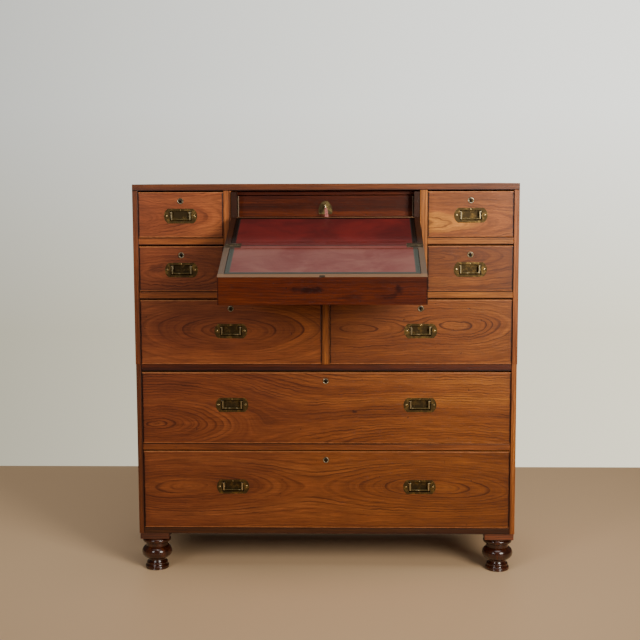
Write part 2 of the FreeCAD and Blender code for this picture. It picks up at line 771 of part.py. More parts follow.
def lid_side_cut(name, low_x, wide):
    """What lies over the slope of the open lid."""
    return on_slope(name, low_x, "lid_near - slope_length * cos(slope)",
                    "fold_z - slope_length * sin(slope)", wide, "2 * slope_length", "slope_length")


def hinge_leaf(name, sign, y, z, grow, over):
    """A leaf let in flush at the end of the fold, or the seat cut for it."""
    low_x = from_side(sign, f"box_half - hinge_inset - hinge_width - {grow}",
                      f"hinge_width + 2 * {grow}")
    return on_slope(name, low_x, f"{y} + hinge_thick * sin(slope)", f"{z} - hinge_thick * cos(slope)",
                    f"hinge_width + 2 * {grow}", f"hinge_leaf + {grow}", f"hinge_thick + {over}")


def base_leaf(name, sign, grow="0", over="0"):
    return hinge_leaf(name, sign, "box_front + leaf_inset * cos(slope)",
                      "fold_z + leaf_inset * sin(slope)", grow, over)


def lid_leaf(name, sign, grow="0", over="0"):
    reach = f"(hinge_leaf + leaf_inset + {grow})"
    return hinge_leaf(name, sign, f"lid_near - {reach} * cos(slope)",
                      f"fold_z - {reach} * sin(slope)", grow, over)


def knuckle(name, sign, third, bore=None):
    """One of three knuckles round the fold's axis, counted from the left."""
    share = "(hinge_width / 3)"
    low_x = from_side(sign, "box_half - hinge_inset - hinge_width", "hinge_width")
    start = f"{low_x} + {third} * {share} + knuckle_play / 2"
    barrel = rod(name, "X", start, "axis_y", "axis_z", "knuckle_radius", f"{share} - knuckle_play")
    if bore is None:
        return barrel
    hole = rod(name + "_bore", "X", f"{start} - cut_over", "axis_y", "axis_z", bore,
               f"{share} + 2 * cut_over")
    return without(name + "_bored", barrel, hole)


def tongue(name, sign, third, y):
    """The strip of a leaf that wraps to its knuckle."""
    low_x = from_side(sign, "box_half - hinge_inset - hinge_width", "hinge_width")
    return box(name, f"{low_x} + {third} * hinge_width / 3 + knuckle_play / 2", y,
               "axis_z - knuckle_radius", "hinge_width / 3 - knuckle_play", "hinge_offset + tongue_lap",
               "knuckle_radius - hinge_pin")


def writing_base():
    sides = []
    for end, sign in (("left", -1), ("right", 1)):
        low_x = from_side(sign, "box_inside", "writing_side")
        blank = box(f"writing_side_{end}_blank", low_x, "box_front + writing_board", "box_sides_low",
                    "writing_side", "writing_depth - writing_board", "box_top - box_sides_low")
        sides.append(without(f"writing_side_{end}", blank,
                             above_slope(f"writing_side_{end}_off", f"{low_x} - cut_over", "writing_side + 2 * cut_over"),
                             base_leaf(f"writing_side_{end}_seat", sign, "inlay_gap", "cut_over")))
    front = box("writing_front_blank", "-box_half", "box_front", "box_low", BOX_WIDE,
                "writing_board", "box_top - box_low")
    cuts = [above_slope("writing_front_off", *FULL_WIDTH)]
    for end, sign in (("left", -1), ("right", 1)):
        cuts.append(base_leaf(f"writing_front_seat_{end}", sign, "inlay_gap", "cut_over"))
        cuts.append(tongue(f"writing_front_tongue_{end}", sign, 1, "box_front - cut_over"))
        cuts += handle_cuts(f"writing_handle_cut_{end}",
                            f"{'-' if sign < 0 else ''}writing_handle_x", "writing_handle_z", "box_front")
    front = without("writing_front_board", front, *cuts)
    floor = box("writing_floor_board", "-box_inside", "box_front + writing_board",
                "box_sides_low + bottom_rise", INSIDE_WIDE, "writing_depth - 2 * writing_board",
                "writing_floor")
    back = box("writing_back_board", "-box_inside", "box_front + writing_depth - writing_board",
               "box_sides_low", INSIDE_WIDE, "writing_board", "box_top - box_sides_low")
    tray = box("pen_tray_blank", "-box_inside", "tray_y", "rim_z - sill_height",
               INSIDE_WIDE, "tray_depth + fall_thick", "sill_height")
    trough = rod("pen_trough", "X", "trough_end - box_inside", "tray_y + tray_depth / 2",
                 "rim_z + trough_rise", "trough_radius", "2 * (box_inside - trough_end)")
    shelf = box("compartment_shelf", "-box_inside", "fall_y + fall_thick",
                "rim_z - compartment_floor", INSIDE_WIDE,
                "box_front + writing_depth - writing_board - fall_y - fall_thick",
                "compartment_floor")
    rail = box("compartment_rail_blank", "-box_inside", "fall_y", "box_top - fall_rail",
               INSIDE_WIDE, "fall_rail_depth", "fall_rail")
    mortise = box("bolt_mortise", "-bolt_width / 2 - mortise_gap", "bolt_y - mortise_gap",
                  "box_top - fall_rail - cut_over", "bolt_width + 2 * mortise_gap",
                  "bolt_thick + 2 * mortise_gap", "fall_rail + 2 * cut_over")
    ledges = []
    for end, sign in (("left", -1), ("right", 1)):
        ledges.append(on_slope(
            f"flap_ledge_{end}", from_side(sign, "box_inside - ledge", "ledge"),
            "box_front + flap_start * cos(slope) + (flap_thick + rest_gap + ledge) * sin(slope)",
            "fold_z + flap_start * sin(slope) - (flap_thick + rest_gap + ledge) * cos(slope)",
            "ledge", "slope_length - flap_start - ledge", "ledge"))
    node("writing_base", front, *sides, floor, back, without("pen_tray", tray, trough), shelf,
         without("compartment_rail", rail, mortise), *ledges)


def flap(name, start, end, y_fold, sign):
    """A flap's board and its leather, both flush with the rim round them."""
    near = start if sign > 0 else end
    long = f"{end} - ({start})"
    signed = f"{'' if sign > 0 else '-'}({near})"
    board = on_slope(name + "_board", "-flap_half",
                     f"{y_fold} + {signed} * cos(slope) + flap_thick * sin(slope)",
                     f"fold_z + {signed} * sin(slope) - flap_thick * cos(slope)",
                     "2 * flap_half", long, "flap_thick")
    edge = f"{near} {'+' if sign > 0 else '-'} leather_margin"
    edge = f"{'' if sign > 0 else '-'}({edge})"
    sheet_size = ("2 * flap_half - 2 * leather_margin", f"{long} - 2 * leather_margin")

    def hide(end, grow_up):
        return on_slope(name + end, "-flap_half + leather_margin",
                        f"{y_fold} + {edge} * cos(slope) + leather_thick * sin(slope)",
                        f"fold_z + {edge} * sin(slope) - leather_thick * cos(slope)",
                        *sheet_size, f"leather_thick + {grow_up}")

    node(name + "_flap", without(name + "_flap_made", board, hide("_leather_seat", "cut_over")))
    node(name + "_leather", hide("_leather_sheet", "0"))


def writing_lid():
    far = box("lid_far_blank", "-box_half", "lid_far", "box_low", BOX_WIDE, "writing_board",
              "fold_z - box_low")
    near = box("lid_near_blank", "-box_half", "lid_near - writing_board", "box_low", BOX_WIDE,
               "writing_board", "fold_z - box_low")
    link = on_slope("link_seat", "-link_width / 2 - inlay_gap",
                    "lid_far - cut_over + link_thick * sin(slope)",
                    "fold_z - rise - cut_over * tan(slope) - link_thick * cos(slope)",
                    "link_width + 2 * inlay_gap", "link_length + cut_over + inlay_gap",
                    "link_thick + 2 * cut_over")
    near_cuts = [lid_side_cut("lid_near_off", *FULL_WIDTH)]
    sides = []
    for end, sign in (("left", -1), ("right", 1)):
        near_cuts += [lid_leaf(f"lid_near_seat_{end}", sign, "inlay_gap", "cut_over"),
                      tongue(f"lid_near_tongue_{end}", sign, 0, "lid_near - tongue_lap"),
                      tongue(f"lid_near_tongue_b_{end}", sign, 2, "lid_near - tongue_lap")]
        low_x = from_side(sign, "box_inside", "writing_side")
        blank = box(f"lid_side_{end}_blank", low_x, "lid_far + writing_board", "box_low",
                    "writing_side", "writing_run - 2 * writing_board", "fold_z - box_low")
        sides.append(without(f"lid_side_{end}", blank,
                             lid_side_cut(f"lid_side_{end}_off", f"{low_x} - cut_over",
                                          "writing_side + 2 * cut_over")))
    panel = box("lid_panel", "-box_inside", "lid_far + writing_board", "box_low + lid_panel_rise",
                INSIDE_WIDE, "writing_run - 2 * writing_board", "writing_floor")
    ledges = []
    for end, sign in (("left", -1), ("right", 1)):
        ledges.append(on_slope(
            f"lid_ledge_{end}", from_side(sign, "box_inside - ledge", "ledge"),
            "lid_near - (lid_flap_end - flap_gap) * cos(slope) + (flap_thick + rest_gap + ledge) * sin(slope)",
            "fold_z - (lid_flap_end - flap_gap) * sin(slope) - (flap_thick + rest_gap + ledge) * cos(slope)",
            "ledge", "lid_flap_end - lid_flap_start - 3 * ledge", "ledge"))
    node("lid_frame", without("lid_far_board", far, lid_side_cut("lid_far_off", *FULL_WIDTH), link),
         without("lid_near_board", near, *near_cuts), *sides, panel, *ledges)


def fold_brass():
    """Leaves and knuckles of both hinges, their pins, and the link on the lid's edge."""
    on_base, on_lid = [], []
    for end, sign in (("left", -1), ("right", 1)):
        low_x = from_side(sign, "box_half - hinge_inset - hinge_width", "hinge_width")
        pin = rod(f"fold_pin_{end}", "X", f"{low_x} + knuckle_play", "axis_y", "axis_z", "hinge_pin",
                  "hinge_width - 2 * knuckle_play")
        on_base.append(joined(f"base_leaf_{end}_made", base_leaf(f"base_leaf_{end}", sign), pin,
                              knuckle(f"base_knuckle_{end}", sign, 1),
                              tongue(f"base_tongue_{end}", sign, 1, "axis_y")))
        made = [lid_leaf(f"lid_leaf_{end}", sign)]
        for third in (0, 2):
            made += [knuckle(f"lid_knuckle_{third}_{end}", sign, third, "hinge_pin + pin_gap"),
                     tongue(f"lid_tongue_{third}_{end}", sign, third,
                            "axis_y - hinge_offset - tongue_lap")]
        on_lid.append(joined(f"lid_leaf_{end}_made", *made))
    link = on_slope("link_plate", "-link_width / 2",
                    "lid_far + link_inset + link_thick * sin(slope)",
                    "fold_z - rise + link_inset * tan(slope) - link_thick * cos(slope)",
                    "link_width", "link_length - link_inset", "link_thick + link_proud")
    node("fold_hinges", *on_base)
    node("lid_brass", *on_lid, link)


def lockplate(name, grow, y, thick):
    """Plate with a pointed arch for its top: two arcs that meet over the key."""
    low = f"key_z - lockplate_drop - {grow}"
    blank = box(name + "_bar", f"-lockplate_width / 2 - {grow}", y, low,
                f"lockplate_width + 2 * {grow}", thick, f"lockplate_height + 2 * {grow}")
    reach = "(lockplate_arch - lockplate_width / 2)"
    spring = "key_z - lockplate_spring"
    left = rod(name + "_arc_left", "Y", reach, y, spring, f"lockplate_arch + {grow}", thick)
    right = rod(name + "_arc_right", "Y", f"-{reach}", y, spring, f"lockplate_arch + {grow}", thick)
    return shared(name, shared(name + "_arch", left, right), blank)


def fall_and_lock():
    """Fall of the small compartment, its lock, key and ribbon."""
    board = box("fall_blank", "-flap_half", "fall_y", "fall_low", "2 * flap_half", "fall_thick",
                "fall_top - fall_low")
    case_low = "key_z - fall_lock_drop"
    case = ("-fall_lock_width / 2", "lock_y", case_low, "fall_lock_width")
    seat = box("lock_seat", *case, "lock_depth + cut_over", "fall_top - fall_low + cut_over")
    shank_room = rod("shank_room", "Y", "0", "fall_y - cut_over", "key_z", "key_shank + key_gap",
                     "fall_lock_face + 2 * cut_over")
    plate_seat = lockplate("lockplate_seat", "inlay_gap", "fall_y - cut_over",
                           "cut_over + lockplate_thick - lockplate_proud")
    node("fall", without("fall_board", board, seat, shank_room, plate_seat))

    plate = lockplate("lockplate", "0", "fall_y - lockplate_proud", "lockplate_thick")
    plate_hole = rod("lockplate_hole", "Y", "0", "fall_y - lockplate_proud - cut_over", "key_z",
                     "key_shank + key_gap", "lockplate_thick + 2 * cut_over")
    body = box("lock_body_blank", *case, "lock_depth", f"fall_top - ({case_low})")
    cavity = rod("bit_room", "Y", "0", "lock_y - cut_over", "key_z", "key_bit + key_gap",
                 "key_bit_thick + cut_over + 2 * key_gap")
    channel = box("bolt_channel", "-bolt_width / 2 - bolt_gap", "bolt_y - bolt_gap",
                  "fall_top - bolt_length - bolt_gap", "bolt_width + 2 * bolt_gap",
                  "bolt_thick + 2 * bolt_gap", "bolt_length + bolt_gap + cut_over")
    node("fall_lock", without("lockplate_made", plate, plate_hole),
         without("lock_body", body, cavity, channel))
    bolt = box("bolt_made", "-bolt_width / 2", "bolt_y", "fall_top - bolt_length", "bolt_width",
               "bolt_thick", "bolt_length - bolt_sunk")
    node("lock_bolt", bolt)

    bow = doc.addObject("Part::Torus", "key_bow_ring")
    bind(bow, Radius1="key_bow", Radius2="key_bow_wire")
    bow.Placement.Rotation = FreeCAD.Rotation(FreeCAD.Vector(0, 1, 0), 90)
    placed(bow, "0", "bow_y", "key_z")
    shank = rod("key_shank_rod", "Y", "0", "bow_y + key_bow", "key_z", "key_shank",
                "lock_y + key_gap + key_bit_thick - bow_y - key_bow")
    bit = box("key_bit_plate", "-key_bit_thick / 2", "lock_y + key_gap", "key_z - key_bit + key_bit_short",
              "key_bit_thick", "key_bit_thick", "key_bit - key_bit_short")
    node("key", joined("key_made", bow, shank, bit))

    node("key_ribbon", box("ribbon_sheet", "-ribbon_width / 2",
                           "bow_y - key_bow - key_bow_wire - rest_gap - ribbon_thick",
                           "key_z - ribbon_length + ribbon_over", "ribbon_width", "ribbon_thick",
                           "ribbon_length"))


def writing_handles():
    """Flush handles in the front board, shut in while the lid lies open."""
    made = []
    for end, x in (("left", "-writing_handle_x"), ("right", "writing_handle_x")):
        name = f"writing_handle_{end}"
        made.append(handle_plate(name, x, "writing_handle_z", "box_front"))
        made += handle_screws(name, x, "writing_handle_z", "box_front")
        made.append(bail(f"{name}_bail", x, "writing_handle_z", "box_front"))
    node("writing_handles", *made)


writing_base()
flap("inner", "flap_start", "flap_end", "box_front", 1)
flap("lid", "lid_flap_start", "lid_flap_end", "lid_near", -1)
writing_lid()
fold_brass()
fall_and_lock()
writing_handles()

# ---------------------------------------------------------------------- checking

doc.recompute()
for thing in doc.Objects:
    if "Invalid" in thing.State or "Error" in thing.State:
        raise RuntimeError(f"{thing.Name} ({thing.Label}) did not build: {thing.State}")
for thing in NODES:
    if thing.Shape.isNull() or not thing.Shape.isValid():
        raise RuntimeError(f"{thing.Label} has no valid shape")

os.makedirs("parts", exist_ok=True)
for thing in NODES:
    thing.Shape.exportStep(f"parts/{thing.Label}.step")
print(f"{len(NODES)} nodes, {sum(len(thing.Shape.Solids) for thing in NODES)} solids")
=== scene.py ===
import math

import bpy
from mathutils import Matrix, Vector


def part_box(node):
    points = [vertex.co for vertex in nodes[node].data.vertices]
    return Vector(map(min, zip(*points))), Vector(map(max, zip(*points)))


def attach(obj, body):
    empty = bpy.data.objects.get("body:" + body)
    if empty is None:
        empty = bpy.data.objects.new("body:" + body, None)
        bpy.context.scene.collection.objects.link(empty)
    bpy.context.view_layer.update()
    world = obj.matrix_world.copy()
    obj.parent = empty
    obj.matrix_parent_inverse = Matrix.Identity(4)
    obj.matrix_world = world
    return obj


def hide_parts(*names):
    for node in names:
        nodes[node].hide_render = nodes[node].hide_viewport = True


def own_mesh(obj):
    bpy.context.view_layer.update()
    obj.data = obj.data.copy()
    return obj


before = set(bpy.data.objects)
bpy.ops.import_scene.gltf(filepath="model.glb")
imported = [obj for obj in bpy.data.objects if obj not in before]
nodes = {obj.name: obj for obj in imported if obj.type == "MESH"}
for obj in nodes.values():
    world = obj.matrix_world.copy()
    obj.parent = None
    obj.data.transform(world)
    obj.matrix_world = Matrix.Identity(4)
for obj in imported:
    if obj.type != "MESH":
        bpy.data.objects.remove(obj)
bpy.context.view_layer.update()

# ------------------------------------------------------------- studio
# The chest stands on a plain, pale floor in front of a backdrop that only the
# camera sees, with painted light on it: brighter to the right and darker and
# warmer at its foot. A warm light is low on the right and a weaker one on the
# left; one hangs close above, a wide one under the ceiling, and one hangs high
# behind.


def wire(tree, kind, settings=None, **inputs):
    """Add a shader node. An input is named, with _ for a space, or i0, i1 by number."""
    made = tree.nodes.new(kind)
    for name, value in (settings or {}).items():
        setattr(made, name, value)
    for name, value in inputs.items():
        numbered = name[0] == "i" and name[1:].isdigit()
        socket = made.inputs[int(name[1:])] if numbered else made.inputs[name.replace("_", " ")]
        if isinstance(value, bpy.types.NodeSocket):
            tree.links.new(value, socket)
        else:
            socket.default_value = value
    return made


def colour(red, green, blue):
    """A screen colour, 0 to 255, as the shader's own numbers."""
    def linear(value):
        value /= 255
        return value / 12.92 if value <= 0.04045 else ((value + 0.055) / 1.055) ** 2.4
    return (linear(red), linear(green), linear(blue), 1.0)


def mesh_piece(name, points, faces, finish, body):
    """A mesh with its place in its points. It rides on a body, if one is named."""
    mesh = bpy.data.meshes.new(name)
    mesh.from_pydata(points, [], faces)
    mesh.update()
    made = bpy.data.objects.new(name, mesh)
    bpy.context.scene.collection.objects.link(made)
    mesh.materials.append(finish)
    if body:
        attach(made, body)
    return made


FLOOR_TAN = colour(238, 200, 156)
FLOOR_HALF, FLOOR_BACK = 6, 1.15
floor_finish = bpy.data.materials.new("studio_floor")
floor_finish.use_nodes = True
shader = floor_finish.node_tree.nodes["Principled BSDF"]
shader.inputs["Base Color"].default_value = FLOOR_TAN
shader.inputs["Roughness"].default_value = 0.6
corners = [(-FLOOR_HALF, -FLOOR_HALF, 0), (FLOOR_HALF, -FLOOR_HALF, 0),
           (FLOOR_HALF, FLOOR_BACK, 0), (-FLOOR_HALF, FLOOR_BACK, 0)]
mesh_piece("studio_floor", corners, [(0, 1, 2, 3)], floor_finish, None)

# painted light on the backdrop: darker and warmer at its foot, brighter to the right
WALL_FOOT_SHADE, WALL_TOP, ROOM_GREY = colour(188, 183, 162), colour(210, 210, 203), colour(160, 154, 144)
WALL_DIM, WALL_BRIGHT = 1.3, 2.9
world = bpy.data.worlds.new("studio")
bpy.context.scene.world = world
world.use_nodes = True
tree = world.node_tree
look = wire(tree, "ShaderNodeTexCoord").outputs["Generated"]
toward = wire(tree, "ShaderNodeSeparateXYZ", Vector=look).outputs
lift = wire(tree, "ShaderNodeMapRange", Value=toward["Z"], From_Min=-0.12, From_Max=0.06,
            To_Min=0.0, To_Max=1.0).outputs[0]
side = wire(tree, "ShaderNodeMapRange", Value=toward["X"], From_Min=-0.28, From_Max=0.25,
            To_Min=WALL_DIM, To_Max=WALL_BRIGHT).outputs[0]
wall = wire(tree, "ShaderNodeMix", {"data_type": "RGBA"}, i0=lift, i6=WALL_FOOT_SHADE,
            i7=WALL_TOP).outputs[2]
backdrop = tree.nodes["Background"]
tree.links.new(wall, backdrop.inputs["Color"])
tree.links.new(side, backdrop.inputs["Strength"])
room = wire(tree, "ShaderNodeBackground", Color=ROOM_GREY, Strength=0.2)
seen = wire(tree, "ShaderNodeLightPath").outputs["Is Camera Ray"]
both = wire(tree, "ShaderNodeMixShader", i0=seen, i1=room.outputs[0], i2=backdrop.outputs[0])
tree.links.new(both.outputs[0], tree.nodes["World Output"].inputs["Surface"])


def soft_light(name, place, aim, size, watts, spread=180, tone=(1, 1, 1)):
    """A square of light at a place, turned towards aim."""
    lamp = bpy.data.lights.new(name, "AREA")
    lamp.shape = "RECTANGLE"
    lamp.size, lamp.size_y = size
    lamp.energy = watts
    lamp.color = tone
    lamp.spread = math.radians(spread)
    made = bpy.data.objects.new(name, lamp)
    made.location = place
    made.rotation_euler = (Vector(aim) - Vector(place)).to_track_quat("-Z", "Y").to_euler()
    bpy.context.scene.collection.objects.link(made)


soft_light("window", (1.55, -2.25, 1.5), (0.3, 0.0, 1.3), (1.0, 1.2), 25, 84, (1.0, 0.95, 0.86))
soft_light("second_window", (-1.6, -2.6, 1.6), (-0.2, 0.0, 1.2), (0.7, 0.9), 8, 115)
soft_light("overhead", (0.4, -1.3, 2.8), (0.2, 0.0, 0.95), (1.6, 1.0), 7, 120, (1.0, 0.99, 0.97))
soft_light("ceiling", (0.0, -0.9, 4.2), (0.0, -0.6, 0.0), (4.5, 3.5), 26, 180, (1.0, 0.98, 0.94))
soft_light("behind", (0.0, 2.9, 3.1), (0.0, 0.6, 0.4), (3.6, 1.4), 22, 180, (1.0, 0.98, 0.95))

EYE, LENS_MM, SENSOR_MM = (0.067, -3.1571, 1.037), 67.5, 36
yaw, pitch, roll = math.radians(1.502), math.radians(6.569), math.radians(0.209)
ahead = Vector((-math.sin(yaw) * math.cos(pitch), math.cos(yaw) * math.cos(pitch), -math.sin(pitch)))
right = Vector((math.cos(yaw), math.sin(yaw), 0))
down = ahead.cross(right)
level = right * math.cos(roll) + down * math.sin(roll)
drop = down * math.cos(roll) - right * math.sin(roll)
camera = bpy.data.objects.new("camera", bpy.data.cameras.new("camera"))
camera.data.sensor_width = SENSOR_MM
camera.data.lens = LENS_MM
camera.data.clip_end = 50
turned = Matrix((level, -drop, -ahead)).transposed().to_4x4()
camera.matrix_world = Matrix.Translation(EYE) @ turned
bpy.context.scene.collection.objects.link(camera)
bpy.context.scene.camera = camera

# ------------------------------------------------------------- case boards
# The carcases are solid camphor boards, dovetailed, with the rails and uprights
# housed in them. Each board has its own shade and grows lighter to the right,
# partly from fading and partly as painted light from the right. The joints
# beside the drawers are dark with grime and with painted shade from the gaps.


def new_finish(name):
    """An empty material: its tree, its shader and its Object coordinates."""
    finish = bpy.data.materials.new(name)
    finish.use_nodes = True
    tree = finish.node_tree
    tree.nodes.clear()
    shader = wire(tree, "ShaderNodeBsdfPrincipled")
    out = wire(tree, "ShaderNodeOutputMaterial")
    tree.links.new(shader.outputs[0], out.inputs[0])
    place = wire(tree, "ShaderNodeTexCoord").outputs["Object"]
    return finish, tree, shader, place


def maths(tree, operation, a, b=0.0, c=0.0):
    return wire(tree, "ShaderNodeMath", {"operation": operation}, i0=a, i1=b, i2=c).outputs[0]


def times(tree, a, b):
    return maths(tree, "MULTIPLY", a, b)


def times_plus(tree, a, b, c):
    return maths(tree, "MULTIPLY_ADD", a, b, c)


def minus(tree, a, b):
    return maths(tree, "SUBTRACT", a, b)


def parts_of(tree, place):
    """The X, Y and Z of a place."""
    return wire(tree, "ShaderNodeSeparateXYZ", Vector=place).outputs


def clouds(tree, place, scale, detail=3.0, rough=0.5, warp=0.0):
    return wire(tree, "ShaderNodeTexNoise", Vector=place, Scale=scale, Detail=detail,
                Roughness=rough, Distortion=warp).outputs["Fac"]


def between(tree, value, low, high, to_low=0.0, to_high=1.0):
    """Value eased from low..high to to_low..to_high, and no further."""
    return wire(tree, "ShaderNodeMapRange", {"interpolation_type": "SMOOTHSTEP"}, Value=value,
                From_Min=low, From_Max=high, To_Min=to_low, To_Max=to_high).outputs[0]


def tint(tree, share, under, over, mode="MIX"):
    return wire(tree, "ShaderNodeMix", {"data_type": "RGBA", "blend_type": mode},
                i0=share, i6=under, i7=over).outputs[2]


def stain(tree, share, tone, red, green, blue):
    """The tone multiplied by a stain, by a share."""
    return tint(tree, share, tone, (red, green, blue, 1), "MULTIPLY")


def shades(tree, value, *stops):
    """A colour ramp through (place, colour) stops."""
    ramp = wire(tree, "ShaderNodeValToRGB", Fac=value)
    band = ramp.color_ramp
    while len(band.elements) < len(stops):
        band.elements.new(1.0)
    for element, (at, shade) in zip(band.elements, stops):
        element.position = at
        element.color = shade
    return ramp.outputs["Color"]


def relief(tree, height, depth, strength=1.0, under=None):
    inputs = {"Height": height, "Distance": depth, "Strength": strength}
    if under is not None:
        inputs["Normal"] = under
    return wire(tree, "ShaderNodeBump", **inputs).outputs["Normal"]


def point_at(tree, x, y, z):
    return wire(tree, "ShaderNodeCombineXYZ", X=x, Y=y, Z=z).outputs[0]


def distance(tree, run, rise):
    return maths(tree, "SQRT", times_plus(tree, run, run, times(tree, rise, rise)))


def strips(tree, along, across, deep, fine):
    """Coordinates drawn out along the grain: fine gives their cycles per metre."""
    return point_at(tree, times(tree, along, fine[0]), times(tree, across, fine[1]),
                    times(tree, deep, fine[2]))


FRONT_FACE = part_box("long_high_front")[0].y


def timber(tree, place, dark, mid, pale, grain="X", hearts=(), front=FRONT_FACE, ring=22.0,
           seed=0.0, sway=0.012, wave=0.5, line=0.9, spacing=0.0064, spots=()):
    """Polished wood: its colour, its dullness and its relief.

    hearts are (along, across, length) of the ovals in its figure, and spots are
    (along, across, length, height, strength) of its dark marks.
    """
    apart = parts_of(tree, place)
    along, across, deep = (apart[name] for name in {"X": "XZY", "Z": "ZXY", "Y": "YXZ"}[grain])
    deep = maths(tree, "ADD", deep, 0.0 if grain == "Y" else -front)
    inward = maths(tree, "ADD", deep, seed)
    # how far the years wander: broad waves and a small ripple
    flow = point_at(tree, times(tree, along, 0.3), across, inward)
    broad = minus(tree, clouds(tree, flow, 5.5, 2, 0.5), 0.5)
    ripple = point_at(tree, times(tree, along, 0.8), across, inward)
    small = minus(tree, clouds(tree, ripple, 34, 3, 0.6), 0.5)
    moved = times_plus(tree, broad, sway * 2, times_plus(tree, small, sway * wave, across))
    moved = times_plus(tree, deep, 0.5, moved)
    rings = moved
    for number, (heart_along, heart_across, length) in enumerate(hearts):
        run = minus(tree, times_plus(tree, broad, 0.2, along), heart_along)
        run = maths(tree, "DIVIDE", run, length)
        oval = distance(tree, run, minus(tree, moved, heart_across))
        rings = oval if number == 0 else maths(tree, "SMOOTH_MIN", rings, oval, 0.03)
    year = maths(tree, "ADD", rings, seed)
    bands = clouds(tree, strips(tree, along, year, deep, (0.8, ring, 8)), 1.0, 2, 0.55)
    tone = shades(tree, between(tree, bands, 0.18, 0.82), (0.0, dark), (0.5, mid), (1.0, pale))
    # the dark, late side of each year's growth, stronger in some years and places
    jitter = clouds(tree, strips(tree, along, year, deep, (1.5, 24, 24)), 1.0, 3, 0.6)
    count = times_plus(tree, jitter, 1.8, maths(tree, "DIVIDE", year, spacing))
    part_year = maths(tree, "FRACT", count)
    some = wire(tree, "ShaderNodeTexWhiteNoise", {"noise_dimensions": "1D"},
                W=maths(tree, "FLOOR", count)).outputs["Value"]
    late = times(tree, between(tree, part_year, 0.5, 0.84),
                 between(tree, part_year, 0.88, 0.98, 1.0, 0.0))
    patchy = between(tree, clouds(tree, flow, 14, 2, 0.6), 0.32, 0.62, 0.2, 1.0)
    late = times(tree, times(tree, late, patchy), times_plus(tree, some, 0.9, 0.1))
    tone = stain(tree, times(tree, late, line), tone, 0.24, 0.16, 0.11)
    # streaks, and finer fibres, drawn out along the grain
    streak = clouds(tree, strips(tree, along, year, deep, (9, 190, 90)), 1.0, 4, 0.7)
    streaks = shades(tree, streak, (0.36, (0.74, 0.69, 0.64, 1)), (0.64, (1.15, 1.15, 1.15, 1)))
    tone = tint(tree, 1.0, tone, streaks, "MULTIPLY")
    fibre = clouds(tree, strips(tree, along, moved, deep, (12, 420, 260)), 1.0, 3, 0.65)
    fibres = shades(tree, fibre, (0.36, (0.7, 0.66, 0.63, 1)), (0.64, (1.18, 1.18, 1.18, 1)))
    tone = tint(tree, 1.0, tone, fibres, "MULTIPLY")
    # dark open pores, brown clouds and golden streaks
    grit = clouds(tree, strips(tree, along, across, deep, (60, 900, 700)), 1.0, 1, 0.5)
    pores = between(tree, grit, 0.6, 0.74)
    tone = stain(tree, times(tree, pores, 0.5), tone, 0.35, 0.3, 0.28)
    cloud = clouds(tree, place, 4.3, 3, 0.55, 0.4)
    tone = stain(tree, between(tree, cloud, 0.35, 0.7, 0.0, 0.5), tone, 0.72, 0.62, 0.55)
    gold = clouds(tree, strips(tree, along, year, deep, (2.2, 13, 9)), 1.0, 2, 0.5)
    tone = stain(tree, between(tree, gold, 0.48, 0.72, 0.0, 0.6), tone, 1.16, 1.22, 1.1)
    for spot_along, spot_across, long, high, strength in spots:
        run = maths(tree, "DIVIDE", minus(tree, along, spot_along), long)
        rise = maths(tree, "DIVIDE", minus(tree, moved, spot_across), high)
        away = times_plus(tree, small, 3.0, distance(tree, run, rise))
        tone = stain(tree, between(tree, away, 0.2, 1.1, strength, 0.0), tone, 0.22, 0.13, 0.1)
    # nicks of hard use
    nick = between(tree, clouds(tree, place, 95, 2, 0.5), 0.73, 0.77)
    tone = stain(tree, times(tree, nick, 0.6), tone, 0.3, 0.25, 0.22)
    dull = times_plus(tree, cloud, 0.16, times(tree, pores, 0.2))
    height = minus(tree, times(tree, fibre, 0.5), times_plus(tree, nick, 3.0, pores))
    return tone, dull, height


def polish(tree, shader, place, tone, dull, height, shine=0.34):
    """Link a timber's colour, dullness and relief to its shader, under wax."""
    tree.links.new(tone, shader.inputs["Base Color"])
    tree.links.new(maths(tree, "ADD", dull, shine), shader.inputs["Roughness"])
    shader.inputs["Specular IOR Level"].default_value = 0.32
    shader.inputs["Coat Weight"].default_value = 0.05
    shader.inputs["Coat Roughness"].default_value = 0.24
    uneven = relief(tree, clouds(tree, place, 9, 2, 0.5), 0.003, 0.25)
    tree.links.new(relief(tree, height, 0.00012, 0.8, uneven), shader.inputs["Normal"])


CASE_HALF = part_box("upper_top")[1].x


def fade_and_light_wash(tree, place, tone, left, right_fade_and_light):
    """The colour multiplied from left on the -X side to the right multiplier on the
    +X side: fading, and painted light from the right.
    """
    across = between(tree, parts_of(tree, place)["X"], -CASE_HALF, CASE_HALF)
    return tint(tree, 1.0, tone, tint(tree, across, (*left, 1), (*right_fade_and_light, 1)), "MULTIPLY")


def joint_dirt_and_gap_shade(tree, place, tone, axis, lines, wide=0.0016, dirt_and_shade=0.7):
    """Dark lines at the joints, of grime and of painted shade from the gaps beside
    the drawers: lines are places along the axis.
    """
    along = parts_of(tree, place)[axis]
    nearest = None
    for at in lines:
        off = maths(tree, "ABSOLUTE", minus(tree, along, at))
        nearest = off if nearest is None else maths(tree, "MINIMUM", nearest, off)
    # grime and painted shade: darker along the joints beside the drawers
    return stain(tree, between(tree, nearest, wide * 0.3, wide, dirt_and_shade, 0.0), tone, 0.2, 0.12, 0.08)


def dress(name, finish):
    """Give a CAD node its finish."""
    slots = nodes[name].data.materials
    slots.clear()
    slots.append(finish)


CASE_TONES = colour(108, 54, 24), colour(138, 74, 34), colour(168, 98, 48)


